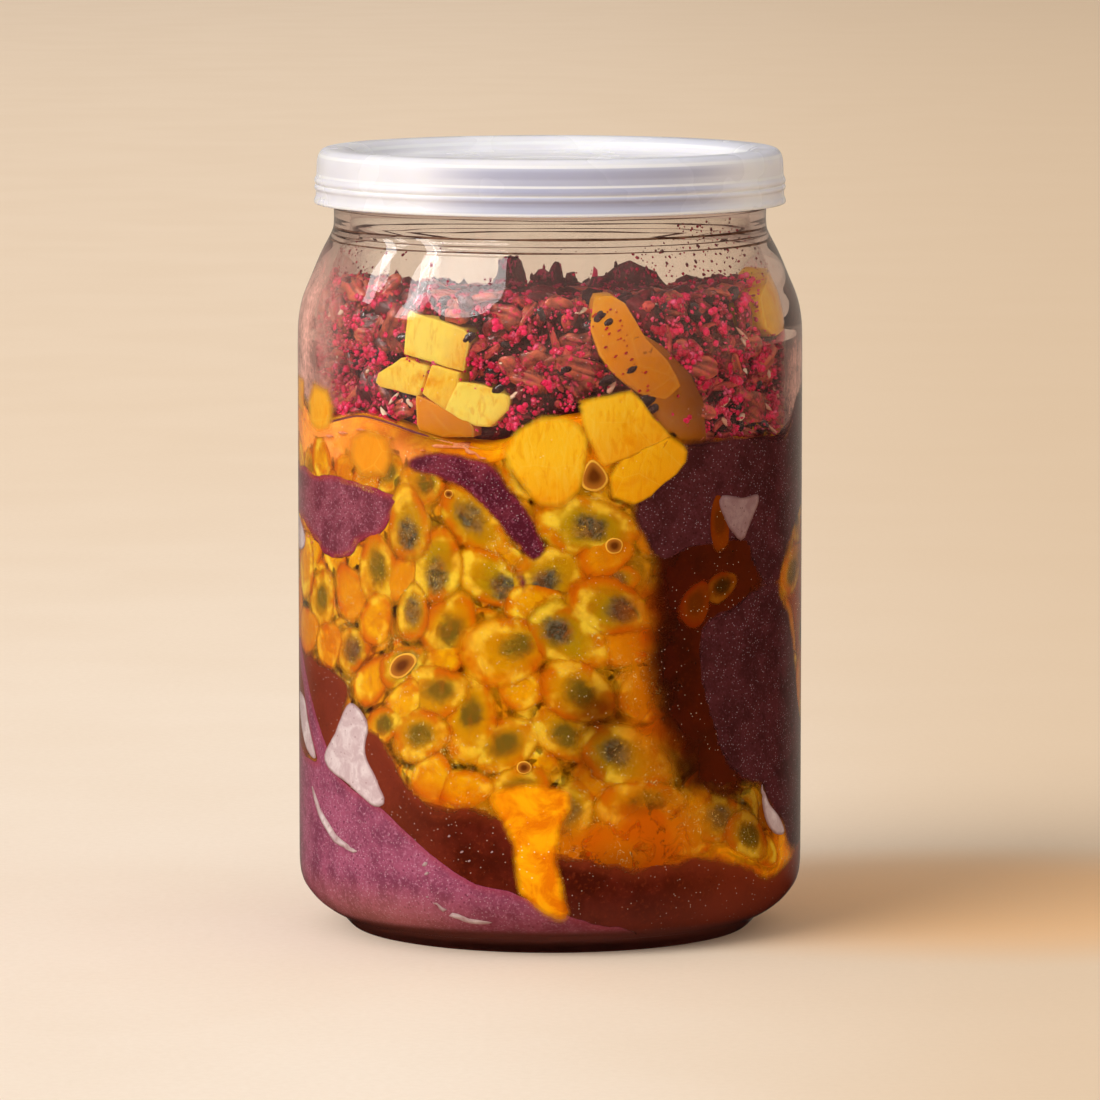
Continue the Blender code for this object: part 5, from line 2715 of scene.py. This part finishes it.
def drupelets(count: int, size: float, seed: int) -> Shell:
    """A crumb of raspberry: a few drupelets grown together.

    Args:
        count: How many.
        size: Radius of one.
        seed: Which crumb.

    Returns:
        The shell.
    """
    chance = np.random.default_rng(seed)
    spots = chance.normal(0, 1, (count, 3)) * (size * 1.15, size * 0.95, size * 0.5)
    grown = []
    for spot in spots:
        one = ball(1)
        one.points = one.points * size * chance.uniform(0.75, 1.15) + spot
        # Painted shade towards the middle of the crumb.
        depth = np.clip(0.5 - np.linalg.norm(one.points, axis=1) / (2.6 * size), 0, 0.5)
        grown.append(one.marked(hollow=2 * depth))
    return Shell.joined(grown)


def berry(size: Sequence[float], seed: int) -> Shell:
    """A clump of dried raspberry: rounded lumps grown together, with drupelets on them.

    Args:
        size: Its half sizes.
        seed: Which unevenness.

    Returns:
        The shell.
    """
    chance = np.random.default_rng(seed)
    whole = uneven(ball(3), np.array(size) * 0.85, 0.16, seed)
    grown = [whole]
    for corner in chance.choice(len(whole.points), 12):
        lump = uneven(ball(2), chance.uniform(0.9, 1.6, 3), 0.2, seed + len(grown))
        lump.points = lump.points + whole.points[corner] * 0.78
        grown.append(lump)
    for corner in chance.choice(len(whole.points), 90):
        one = ball(1)
        one.points = one.points * chance.uniform(0.25, 0.4) + whole.points[corner]
        # A little painted shade on the drupelets.
        grown.append(one.marked(hollow=0.1))
    return Shell.joined(grown)


def pecan(length: float, width: float, thick: float, seed: int) -> Shell:
    """A broken piece of pecan half: ridged along its back and flat below.

    Args:
        length: Its length.
        width: Its width.
        thick: Its thickness.
        seed: Which break.

    Returns:
        The shell.
    """
    turns = np.linspace(0.0, math.pi, 9)
    shell = lathe(np.stack([np.sin(turns), -np.cos(turns)], 1), 26)
    chance = np.random.default_rng(seed)
    y, z, x = shell.points.T
    blunt = np.sign(x) * np.abs(x) ** 0.7
    ridge = 0.26 * np.cos(y * 10.5 + 1.6 * np.sin(x * 2.8 + seed)) * (1 - x * x)
    groove = -0.42 * np.exp(-((y / 0.16) ** 2))
    back = np.where(z > 0, 1 + ridge + groove, 0.55 + 0.1 * np.cos(y * 7))
    waist = 1 - 0.16 * np.cos(x * 9 + seed) * (1 - np.abs(x))
    points = np.stack([blunt * length / 2, y * waist * width / 2, z * back * thick / 2], 1)
    bend = chance.uniform(0.1, 0.3)
    points[:, 2] -= bend * (points[:, 0] / length * 2) ** 2 * thick
    cut = chance.uniform(0.1, 0.42) * length
    ragged = cut + 0.5 * lumps(points, 1.0, seed)
    points[:, 0] = np.minimum(points[:, 0], ragged)
    points += 0.13 * np.stack([lumps(points, 0.9, seed + k) for k in range(3)], 1)
    # Painted shade in the grooves and on the flat underside.
    hollow = np.clip(-3.6 * ridge - 1.6 * groove, 0, 1) + np.clip(-z, 0, 1) * 0.6
    return Shell(points, shell.faces).marked(hollow=np.clip(hollow, 0, 1))


@dataclass
class Scatter:
    """Strews one kind of loose piece over a skin with Geometry Nodes."""

    kind: Kind
    ground: "Heap | GlassBand"

    def tree(self, material: bpy.types.Material) -> bpy.types.NodeTree:
        """Draws the node tree.

        Args:
            material: The pieces' finish.

        Returns:
            The tree.
        """
        tree = bpy.data.node_groups.new(f"strew {self.kind.name}", "GeometryNodeTree")
        face = tree.interface
        face.new_socket("Heap", in_out="INPUT", socket_type="NodeSocketGeometry")
        face.new_socket("Pieces", in_out="INPUT", socket_type="NodeSocketCollection")
        for name in ("Density", "Smallest", "Largest", "Tilt", "Clearance"):
            face.new_socket(name, in_out="INPUT", socket_type="NodeSocketFloat")
        face.new_socket("Seed", in_out="INPUT", socket_type="NodeSocketInt")
        face.new_socket("Strewn", in_out="OUTPUT", socket_type="NodeSocketGeometry")
        node = functools.partial(add_node, tree)
        given = node("NodeGroupInput").outputs
        spread = node(
            "GeometryNodeDistributePointsOnFaces",
            None,
            {"Mesh": given["Heap"], "Density": given["Density"], "Seed": given["Seed"]},
        )
        facing = node(
            "GeometryNodeStoreNamedAttribute",
            {"data_type": "QUATERNION", "domain": "POINT"},
            {
                "Geometry": spread.outputs["Points"],
                "Name": "way",
                "Value": spread.outputs["Rotation"],
            },
        )
        room = node("GeometryNodeInputNamedAttribute", {"data_type": "FLOAT"}, {"Name": "room"})
        tight = node(
            "FunctionNodeCompare",
            {"data_type": "FLOAT", "operation": "LESS_THAN"},
            {0: room.outputs[0], 1: given["Clearance"]},
        )
        free = node(
            "GeometryNodeDeleteGeometry",
            {"domain": "POINT"},
            {"Geometry": facing.outputs[0], "Selection": tight.outputs[0]},
        )
        way = node("GeometryNodeInputNamedAttribute", {"data_type": "QUATERNION"}, {"Name": "way"})
        pieces = node(
            "GeometryNodeCollectionInfo",
            None,
            {"Collection": given["Pieces"], "Separate Children": True, "Reset Children": True},
        )
        chosen = node(
            "FunctionNodeRandomValue",
            {"data_type": "INT"},
            {4: 0, 5: len(self.kind.shapes) - 1, "Seed": 1},
        )
        size = node(
            "FunctionNodeRandomValue",
            {"data_type": "FLOAT"},
            {2: given["Smallest"], 3: given["Largest"], "Seed": 2},
        )
        laid = node(
            "GeometryNodeInstanceOnPoints",
            None,
            {
                "Points": free.outputs[0],
                "Instance": pieces.outputs[0],
                "Pick Instance": True,
                "Instance Index": chosen.outputs[2],
                "Rotation": way.outputs[0],
                "Scale": size.outputs[1],
            },
        )
        lean = node("ShaderNodeMath", {"operation": "MULTIPLY"}, {0: given["Tilt"], 1: -1.0})
        least = node(
            "ShaderNodeCombineXYZ", None, {0: lean.outputs[0], 1: lean.outputs[0], 2: -math.pi}
        )
        most = node("ShaderNodeCombineXYZ", None, {0: given["Tilt"], 1: given["Tilt"], 2: math.pi})
        turn = node(
            "FunctionNodeRandomValue",
            {"data_type": "FLOAT_VECTOR"},
            {0: least.outputs[0], 1: most.outputs[0], "Seed": 3},
        )
        turned_pieces = node(
            "GeometryNodeRotateInstances",
            None,
            {"Instances": laid.outputs[0], "Rotation": turn.outputs[0], "Local Space": True},
        )
        tone = node("FunctionNodeRandomValue", {"data_type": "FLOAT"}, {2: 0.0, 3: 1.0, "Seed": 4})
        marked = node(
            "GeometryNodeStoreNamedAttribute",
            {"data_type": "FLOAT", "domain": "INSTANCE"},
            {"Geometry": turned_pieces.outputs[0], "Name": "kind", "Value": tone.outputs[1]},
        )
        whole = node("GeometryNodeRealizeInstances", None, {"Geometry": marked.outputs[0]})
        dressed = node(
            "GeometryNodeSetMaterial",
            None,
            {"Geometry": whole.outputs[0], "Material": material},
        )
        node("NodeGroupOutput", None, {"Strewn": dressed.outputs[0]})
        return tree

    def strewn(self, material: bpy.types.Material) -> Shell:
        """Runs the tree on the heap's skin.

        Args:
            material: The pieces' finish.

        Returns:
            The strewn pieces as one plain mesh.
        """
        kind = self.kind
        pieces = bpy.data.collections.new(f"{kind.name} shapes")
        for number, shape in enumerate(kind.shapes):
            made = shape.to_object(f"{kind.name} {number}", material)
            bpy.context.scene.collection.objects.unlink(made)
            pieces.objects.link(made)
        skin = self.ground.skin(kind.inset)
        tree = self.tree(material)
        strew = skin.modifiers.new("strew", "NODES")
        strew.node_group = tree
        chosen = {
            "Pieces": pieces,
            "Density": kind.density * PER_SQUARE_METRE,
            "Smallest": kind.smallest,
            "Largest": kind.largest,
            "Tilt": math.radians(kind.tilt),
            "Clearance": kind.clearance,
            "Seed": kind.seed,
        }
        for socket in tree.interface.items_tree:
            if socket.name in chosen:
                strew[socket.identifier] = chosen[socket.name]
        bpy.context.view_layer.update()
        graph = bpy.context.evaluated_depsgraph_get()
        mesh = bpy.data.meshes.new_from_object(skin.evaluated_get(graph))
        shell = Shell.read(mesh, ["kind", "hollow"])
        bpy.data.objects.remove(skin)
        bpy.data.meshes.remove(mesh)
        for made in list(pieces.objects):
            bpy.data.objects.remove(made)
        bpy.data.collections.remove(pieces)
        return shell


@dataclass
class RedTopping:
    """The topping: pecan pieces, raspberry crumbs, seeds and slivers over a dark core."""

    core_finish: DryBit = DryBit(
        "berry dust core",
        skin=rgb(92, 14, 28),
        dark=rgb(34, 6, 12),
        dust=rgb(150, 18, 50),
        dusted=0.4,
        roughness=0.75,
        grain=1.2,
    )
    tall_finish: DryBit = DryBit(
        "shaded berry lump",
        skin=rgb(104, 34, 40),
        dark=rgb(54, 16, 20),
        dust=rgb(206, 34, 84),
        dusted=0.45,
        roughness=0.7,
    )
    core_inset: float = 4.6
    core_relief: float = 0.5
    tall: tuple[tuple[Corners, float], ...] = (
        (((-6.5, 6.0, 101.6), (4.4, 3.0, 6.2)), 0.0),
        (((-0.6, 8.0, 101.2), (4.4, 3.0, 5.9)), 4.0),
        (((13.6, 6.0, 101.5), (9.0, 3.0, 5.8)), 8.0),
        (((26.4, 6.0, 101.3), (6.4, 3.4, 5.8)), 0.0),
        (((-12.4, 0.0, 100.4), (2.6, 2.0, 4.4)), 0.0),
        (((-27.0, 6.0, 100.4), (5.4, 2.8, 5.0)), 0.0),
        (((3.0, 20.0, 100.2), (7.0, 3.4, 4.2)), 0.0),
        (((-16.0, 18.0, 100.2), (7.0, 3.4, 4.2)), 0.0),
    )

    def tall_lumps(self) -> Shell:
        """Lumps that stand out of the heap's top.

        Returns:
            The lumps as one shell.
        """
        made = []
        for number, ((spot, size), lean) in enumerate(self.tall):
            lump = berry(size, 70 + number)
            angle = math.radians(lean)
            x, y, z = lump.points.T
            turned_points = np.stack(
                [
                    x * math.cos(angle) + z * math.sin(angle),
                    y,
                    z * math.cos(angle) - x * math.sin(angle),
                ],
                1,
            )
            lump.points = turned_points + np.array(spot)
            made.append(lump)
        return Shell.joined(made).marked(kind=0.5)

    def kinds(self) -> list[Kind]:
        """The kinds of loose piece, largest first.

        Returns:
            The kinds.
        """
        small, smaller = ball(2), ball(1)
        pecans = tuple(
            pecan(*size, seed)
            for seed, size in enumerate(
                (
                    (11.5, 5.6, 3.2), (8.5, 5.2, 2.8), (13.0, 4.4, 3.0), (6.5, 5.0, 2.8),
                    (10.5, 3.0, 2.6), (8.0, 2.8, 2.4),
                )
            )
        )
        chips = tuple(
            uneven(small, size, 0.3, seed)
            for seed, size in enumerate(
                ((2.0, 0.8, 0.6), (1.5, 0.9, 0.7), (2.8, 0.7, 0.5), (1.2, 0.8, 0.6))
            )
        )
        crumbs = tuple(
            drupelets(count, size, 20 + count)
            for count, size in ((5, 0.5), (8, 0.46), (6, 0.54), (10, 0.5))
        )
        dust = tuple(
            uneven(smaller, size, 0.3, 30 + seed)
            for seed, size in enumerate(((0.3, 0.24, 0.2), (0.2, 0.18, 0.16), (0.42, 0.3, 0.24)))
        )
        seeds = tuple(
            uneven(ball(3), size, 0.05, 40 + seed)
            for seed, size in enumerate(((1.5, 0.85, 0.6), (1.1, 0.8, 0.6)))
        )
        husks = tuple(
            uneven(small, size, 0.3, 50 + seed)
            for seed, size in enumerate(((2.9, 1.8, 1.2), (2.2, 1.5, 1.0)))
        )
        slivers = tuple(
            uneven(small, size, 0.2, 60 + seed)
            for seed, size in enumerate(((1.6, 0.42, 0.26), (1.1, 0.5, 0.28)))
        )
        return [
            Kind(
                "dark_berry_lumps",
                husks,
                DryBit("dark berry", rgb(120, 26, 34), rgb(40, 8, 14), dusted=0.25, roughness=0.5),
                density=0.035, smallest=0.8, largest=1.4, inset=3.6, tilt=60, seed=1,
                clearance=-0.5,
            ),
            Kind(
                "pecan_pieces",
                pecans,
                DryBit(
                    "pecan", rgb(222, 106, 72), rgb(70, 12, 16), rgb(236, 44, 92),
                    dusted=0.4, roughness=0.3, gloss=0.6,
                ),
                density=0.055, smallest=0.55, largest=1.0, inset=1.6, tilt=30, seed=2,
                clearance=1.5,
            ),
            Kind(
                "nut_chips",
                chips,
                DryBit("nut chip", rgb(226, 88, 74), rgb(110, 18, 26), dusted=0.35, roughness=0.4),
                density=0.09, smallest=0.6, largest=1.2, inset=1.5, tilt=40, seed=3,
                clearance=0.7,
            ),
            Kind(
                "glossy_seeds",
                seeds,
                DryBit(
                    "seed shell", rgb(54, 44, 50), rgb(18, 12, 16),
                    dusted=0.02, roughness=0.1, gloss=0.8,
                ),
                density=0.03, smallest=0.7, largest=1.15, inset=1.2, tilt=30, seed=4,
                clearance=0.3,
            ),
            Kind(
                "raspberry_crumbs",
                crumbs,
                DryBit(
                    "raspberry crumb", rgb(250, 20, 92), rgb(176, 4, 44), rgb(255, 104, 150),
                    dusted=0.35, roughness=0.3,
                ),
                density=0.13, smallest=0.6, largest=1.35, inset=1.0, tilt=60, seed=5,
                clearance=0.5,
            ),
            Kind(
                "raspberry_dust",
                dust,
                DryBit(
                    "raspberry dust", rgb(242, 34, 92), rgb(160, 8, 46), rgb(255, 110, 146),
                    dusted=0.4, roughness=0.4,
                ),
                density=0.7, smallest=0.5, largest=1.4, inset=0.6, tilt=60, seed=6,
                clearance=-1.0,
            ),
            Kind(
                "pale_slivers",
                slivers,
                DryBit("pale sliver", rgb(250, 226, 196), rgb(226, 160, 134), dusted=0.05),
                density=0.016, smallest=0.7, largest=1.2, inset=0.8, tilt=35, seed=7,
                clearance=0.5,
            ),
        ]

    def build(self) -> None:
        """Makes the topping."""
        # The core takes some painted shade all over.
        core = Heap().surface(self.core_inset, self.core_relief).marked(kind=0.5, hollow=0.3)
        place(core, "topping_core", self.core_finish.make(), ["topping"])
        place(self.tall_lumps(), "tall_topping_lumps", self.tall_finish.make())
        for kind in self.kinds():
            material = kind.finish.make()
            strewn = Scatter(kind, Heap()).strewn(material)
            strewn.points = WALL.pressed(strewn.points, kind.clear)
            place(strewn, kind.name, material)


@dataclass
class WallTraces:
    """What lies on the glass over the filling: foam, streaks, pockets, bubbles and specks."""

    foam_finish: Glaze = Glaze(
        "pale foam",
        body=rgb(224, 132, 84),
        other=rgb(246, 190, 150),
        rim=rgb(226, 120, 60),
        streak=1.0,
    )
    # Painted shade: the dark lines on the neck.
    neck_shade_finish: Glaze = Glaze(
        "neck line", body=rgb(84, 56, 44), other=rgb(140, 104, 84), streak=4.0
    )
    # Height, radius and thickness of each dark ring of painted shade on the neck.
    lines: tuple[tuple[float, float, float], ...] = (
        (114.15, 34.0, 0.42), (112.9, 34.5, 0.2), (111.9, 35.0, 0.38), (117.3, 33.8, 0.16),
    )
    seed: int = 61
    # Azimuth, height and size of pale drops that paint glints on droplets.
    glints: tuple[tuple[float, float, float], ...] = (
        (-30.3, 14.8, 0.42), (-29.9, 13.3, 0.36), (-20.8, 17.2, 0.22), (-19.0, 15.8, 0.22),
        (-24.0, 19.6, 0.2), (-13.5, 17.4, 0.18),
    )
    stuck: tuple[tuple[float, float, float], ...] = (
        (11.9, 102.2, 0.85), (13.9, 101.3, 0.6), (19.4, 94.0, 0.7), (13.4, 92.4, 1.0),
        (23.1, 89.0, 1.2), (24.6, 87.6, 0.8), (-19.2, 98.9, 0.9), (-12.0, 91.0, 0.8),
        (3.4, 94.0, 0.9),
    )
    flecks: int = 36
    fleck_range: tuple[tuple[float, float, float], ...] = ((9.5, 89.5, 0.1), (26.0, 103.5, 0.28))
    fleck_middle: tuple[float, float] = (17.0, 96.0)
    seed_finish: DryBit = DryBit(
        "stuck seed", rgb(58, 34, 38), rgb(22, 12, 16), dusted=0.05, roughness=0.12, gloss=0.8
    )
    pocket_finish: Glaze = Glaze(
        "frosty pocket",
        body=rgb(202, 176, 178),
        other=rgb(226, 208, 208),
        streak=2.6,
        pitted=0.6,
    )

    def foam(self) -> Shell:
        """Pale membranes and foam at the jelly's edges.

        Returns:
            The shell.
        """
        lines = (
            Streak((
                (-96, 86.4), (-84, 84.8), (-78, 83.4), (-72, 81.4), (-66, 81.2), (-58, 82.4),
                (-50, 83.4), (-42, 82.9), (-32, 81.6),
            ), 0.5),
            Streak(((-33, 80.4), (-27, 81.8), (-20, 81.4), (-13, 79.2)), 0.7),
            Streak(((-84, 66.6), (-76, 65.0), (-70, 63.0)), 0.4),
        )
        return Sheet(either(*lines), low=60, high=92, proud=0.22, thick=2.0, rounding=0.0).shell()

    def pockets(self) -> Shell:
        """Frosted air pockets between the layers.

        Returns:
            The shell, with its shade marked.
        """
        spaces = (
            Outline(((-80, 38), (-75, 33.5), (-70, 29), (-76, 29.5), (-83, 33), (-88, 38)), 0.3),
            Outline((
                (-65, 29.1), (-59.1, 34.4), (-53.7, 39.2), (-47.6, 36.4), (-48.1, 31.7),
                (-45, 28.2), (-42, 24.4), (-45.3, 23.2), (-53.8, 26.1),
            ), 0.3),
            Outline(((43, 73), (50, 72.6), (57, 72.4), (53, 67.5), (50, 65.6), (45, 69)), 0.25),
            Outline((
                (58.4, 26), (61.7, 22.5), (68.3, 19), (70.5, 16.6), (64.5, 17.5), (60.2, 20.5),
            ), 0.2),
            Outline(((-92, 67.4), (-84, 66.6), (-78, 64.4), (-80, 62.4), (-88, 62)), 0.3),
            Streak(((-73.5, 24.5), (-68, 20.4), (-60, 16.8), (-50, 15.0)), 1.5),
            Streak(((-31, 10.2), (-26, 7.8), (-20, 6.6), (-12, 6.2)), 0.8),
        )
        shell = Sheet(
            either(*spaces), low=5.0, high=76, proud=0.3, thick=2.0, rounding=0.0
        ).shell()
        azimuth, height, _ = polar(shell.points)
        return shell.marked(shade=np.where((azimuth > 0) & (height > 30), 0.75, 0.0))

    def pressed(self, spots: Sequence[tuple[float, float, float]], proud: float) -> Shell:
        """Small flat drops or seeds pressed against the glass.

        Args:
            spots: Azimuth, height and size of each.
            proud: How far they reach past the wall's radius, in mm.

        Returns:
            The drops or seeds.
        """
        made = []
        for number, (at, level, size) in enumerate(spots):
            whole = ball(3 if size > 0.5 else 1)
            drop = uneven(whole, (1.25 * size, 0.3 * size, 0.85 * size), 0.22, 140 + number)
            side, out, up = drop.points.T
            height = level + up + 0.35 * side
            radius = WALL.at(height) + proud - 0.3 * size + out
            drop.points = around(at + side / WALL.per_degree(), height, radius)
            made.append(drop)
        return Shell.joined(made).marked(kind=0.5, shade=0.0)

    def bubbles(self) -> Shell:
        """Air bubbles against the glass.

        Returns:
            The bubbles as one shell.
        """
        places = (
            Sac(10.2, 77.4, 5.4, 4.6, 100, Tone.GOLD),
            Sac(15.0, 66.2, 3.0, 2.8, 30, Tone.GOLD),
            Sac(-6.0, 31.0, 2.6, 2.3, 0, Tone.GOLD),
            Sac(-24.0, 74.2, 1.6, 1.5, 0, Tone.GOLD),
            Sac(-36.5, 46.4, 6.6, 3.8, 34, Tone.GOLD),
        )
        return Shell.joined(
            [
                dome(sac, 0.24, 300 + number, taper=0.12 if number else 0.4, swell=1.0)
                for number, sac in enumerate(places)
            ]
        )

    def film(self) -> Shell:
        """The film on the glass over the heap, with painted shade at the right of the neck.

        Returns:
            The shell, with its shade and sides marked.
        """

        def band(azimuth: np.ndarray, height: np.ndarray) -> np.ndarray:
            """Depth within the band of bare glass."""
            return np.minimum(height - WET_TOP.level(azimuth) - 1.0, 117.6 - height)

        shell = Sheet(band, low=78, high=118, proud=0.07, thick=0.1, rounding=0.0).shell()
        azimuth, height, _ = polar(shell.points)
        # Painted shade at the right of the neck, in streaks.
        right = np.exp(-(((azimuth - 66) / 24) ** 2)) * np.clip((height - 110) / 4, 0, 1)
        streaks = 0.6 + 0.6 * lumps(shell.points * (0.5, 0.5, 1.6), 2.6, 12)
        # Denser at the sides: partly berry dust, partly painted haze of the glass seen at a slant.
        left_side = np.clip((-azimuth - 55) / 22, 0, 1) * np.clip((128 + azimuth) / 25, 0, 1)
        right_side = np.clip((azimuth - 66) / 12, 0, 1) * np.clip((128 - azimuth) / 25, 0, 1)
        left_side *= np.clip((112 - height) / 8, 0, 1)
        right_side *= np.clip((99 - height) / 5, 0.15, 1) * np.clip((112 - height) / 8, 0, 1)
        return shell.marked(
            shade=np.clip(right * streaks, 0, 1), side=(left_side + right_side) ** 1.3
        )

    def hoops(self) -> Shell:
        """Dark rings of painted shade where the glass shows dark lines as its neck turns, and
        where the lid's shadow falls below its skirt.

        Returns:
            The lines as one shell.
        """
        return Shell.joined(
            [
                hoop(level, radius, tall, number)
                for number, (level, radius, tall) in enumerate(self.lines)
            ]
        ).marked(within=1.0)

    def build(self) -> None:
        """Makes the traces."""
        place(self.film(), "dusty_film", DustyFilm().make())
        place(self.hoops(), "neck_lines", self.neck_shade_finish.make())
        place(self.foam(), "jelly_foam", self.foam_finish.make())
        place(self.pockets(), "frosty_pockets", self.pocket_finish.make())
        place(self.bubbles(), "air_bubbles", BubbleSkin().make())
        seeds = self.pressed(self.stuck, 0.02)
        place(seeds, "stuck_seeds", self.seed_finish.make())
        # Painted highlights: pale drops for the glints on droplets.
        drops = self.pressed(self.glints, 0.34)
        place(drops, "bright_drops", self.pocket_finish.make())
        chance = np.random.default_rng(self.seed)
        flecks = chance.uniform(*self.fleck_range, (self.flecks, 3))
        side, level = self.fleck_middle
        flecks[:, 0] = side + 0.45 * (flecks[:, 0] - side) - 0.75 * (flecks[:, 1] - level)
        crimson = DryBit("berry fleck", rgb(206, 26, 34), rgb(150, 14, 22), dusted=0.2)
        place(self.pressed(flecks, 0.02), "berry_flecks", crimson.make())
        specks = Kind(
            "specks_on_glass",
            tuple(
                uneven(ball(1), size, 0.3, 80 + seed)
                for seed, size in enumerate((
                    (0.2, 0.15, 0.05), (0.32, 0.2, 0.06), (0.12, 0.12, 0.05),
                ))
            ),
            DryBit("berry speck", rgb(168, 24, 54), rgb(96, 12, 30), dusted=0.2),
            density=1.0, smallest=0.5, largest=1.5, inset=0.05, tilt=4, seed=9,
            clearance=0.6, clear=0.0,
        )
        material = specks.finish.make()
        strewn = Scatter(specks, GlassBand()).strewn(material)
        place(strewn, specks.name, material)


@dataclass
class Studio:
    """The floor, the light and the camera."""

    eye: tuple[float, float, float] = (0.0, -1.1811, 0.1931)
    dip: float = 6.368
    lens: float = 238.5
    sun_from: tuple[float, float] = (-50.0, 39.0)
    sun_strength: float = 2.1
    sky: Rgb = (0.64, 0.625, 0.61)
    backdrop: Rgb = (0.54, 0.37, 0.27)
    floor_radius: float = 8.0
    floor_depth: float = 4.0
    sun_width: float = 36.0
    sun_away: float = 2.0
    aim: float = 0.065
    sensor: float = 36.0
    panels: tuple[tuple[str, float, float, float, float, float], ...] = (
        ("main panel, bright part", -74.2, 31.0, 0.08, 0.44, 0.67),
        ("main panel, second part", -70.3, 31.0, 0.055, 0.44, 0.4),
        ("main panel, faint part", -67.2, 31.0, 0.055, 0.44, 0.14),
        ("side panel", -100.0, 38.0, 0.1, 0.5, 0.9),
    )

    def camera(self) -> None:
        """Places the camera."""
        data = bpy.data.cameras.new("camera")
        data.lens = self.lens
        data.sensor_width = self.sensor
        made = bpy.data.objects.new("camera", data)
        made.location = self.eye
        made.rotation_euler = (math.radians(90 - self.dip), 0, 0)
        bpy.context.scene.collection.objects.link(made)
        bpy.context.scene.camera = made

    def light(
        self, name: str, data: bpy.types.Light, azimuth: float, elevation: float, away: float
    ) -> bpy.types.Object:
        """Places a light that faces the jar.

        Args:
            name: Its name.
            data: Its data.
            azimuth: Its azimuth.
            elevation: Its elevation in degrees.
            away: Its distance from the jar's middle.

        Returns:
            The light.
        """
        made = bpy.data.objects.new(name, data)
        side, up = math.radians(azimuth), math.radians(elevation)
        way = np.array(
            (math.sin(side) * math.cos(up), -math.cos(side) * math.cos(up), math.sin(up))
        )
        made.location = tuple(way * away + (0, 0, self.aim))
        made.rotation_euler = Euler((math.radians(90 - elevation), 0, side))
        bpy.context.scene.collection.objects.link(made)
        return made

    def lights(self) -> None:
        """Places the lights: a broad soft one, and panels that show in the glass."""
        sun = bpy.data.lights.new("broad light", "SUN")
        sun.energy = self.sun_strength
        sun.angle = math.radians(self.sun_width)
        made = self.light("broad light", sun, *self.sun_from, self.sun_away)
        made.visible_glossy = False
        for name, azimuth, elevation, wide, tall, power in self.panels:
            panel = bpy.data.lights.new(name, "AREA")
            panel.shape = "RECTANGLE"
            panel.size, panel.size_y = wide, tall
            panel.energy = power
            made = self.light(name, panel, azimuth, elevation, 1.0)
            made.visible_diffuse = False

    def air(self) -> None:
        """Fills the studio with soft light, and gives gloss a dim room to mirror."""
        graph = Graph("studio air", world=True)
        x, y, z = graph.split(graph.places)
        mirrored = graph.coats(
            (0.004, 0.004, 0.005),
            (graph.step(y, 0.55, 1.0), (0.3, 0.25, 0.2)),
            (graph.step(x, -0.6, -1.0) * 0.2, (0.9, 0.88, 0.9)),
            (graph.step(z, 0.25, 0.9) * 0.6, (0.64, 0.58, 0.56)),
            (graph.step(z, -0.05, -0.3), (0.004, 0.003, 0.003)),
        )
        path = graph.node("ShaderNodeLightPath")
        glossy = Value(graph, path.outputs["Is Glossy Ray"])
        refracted = Value(graph, path.outputs["Is Transmission Ray"])
        colour = graph.mix(refracted, graph.mix(glossy, self.sky, mirrored), self.backdrop)
        air = graph.node("ShaderNodeBackground", None, {"Color": colour})
        bpy.context.scene.world = graph.finished(Value(graph, air.outputs[0]))

    def floor(self) -> None:
        """Lays the floor: paler towards the front, with painted light that falls off towards the
        right and a painted warm shadow beside the jar.
        """
        graph = Graph("warm paper")
        across, along, _ = graph.split(graph.places)
        aside = graph.math("DIVIDE", across, along + 1.18)
        grain = graph.noise(1.4, detail=4, roughness=0.7)
        cloud = graph.noise(60, detail=3)
        colour = graph.mix(graph.step(along, 0.9, -0.15), rgb(243, 218, 189), rgb(250, 232, 212))
        # Painted light: the paper darker towards the right, away from the light.
        colour = graph.mix(graph.step(aside, -0.03, 0.085) * 0.8, colour, rgb(226, 196, 160))
        # Painted shadow: a warm tint beside the jar, where its shadow falls.
        across_shade, along_shade = across - 0.075, along - 0.02
        away = across_shade * across_shade + 1.6 * along_shade * along_shade
        colour = graph.coats(
            colour,
            (graph.step(away, 0.085**2, 0.02**2) * 0.75, rgb(238, 178, 112)),
            (0.10 * graph.step(cloud, 0.3, 0.7), rgb(222, 190, 152)),
            (0.10 * graph.step(grain, 0.3, 0.7), rgb(214, 184, 150)),
        )
        path = graph.node("ShaderNodeLightPath")
        mirrored = graph.step(Value(graph, path.outputs["Glossy Depth"]), 0.4, 0.6)
        colour = graph.mix(mirrored, colour, (0.05, 0.03, 0.022))
        paper = graph.principled(
            Base_Color=colour,
            Roughness=0.9,
            Normal=graph.relief(grain, 0.06, 0.4),
        )
        material = graph.finished(paper)
        edge, under = self.floor_radius / MM, -self.floor_depth
        disc = lathe(np.array(((0, under), (edge, under), (edge, 0.0), (0, 0.0))), 96)
        made = disc.to_object("floor", material)
        made.visible_glossy = False

    def build(self) -> None:
        """Sets up the studio."""
        self.camera()
        self.lights()
        self.air()
        self.floor()
        bpy.context.scene.view_settings.view_transform = "Standard"


def main() -> None:
    """Builds the jar and its filling."""
    logging.basicConfig(level=logging.INFO, format="%(message)s")
    for part in (
        Studio(),
        GlassJar(),
        PushOnLid(),
        AcaiLayers(),
        AcaiJuice(),
        PassionPulp(),
        MangoChunks(),
        RedTopping(),
        WallTraces(),
    ):
        part.build()


if __name__ == "__main__":
    main()
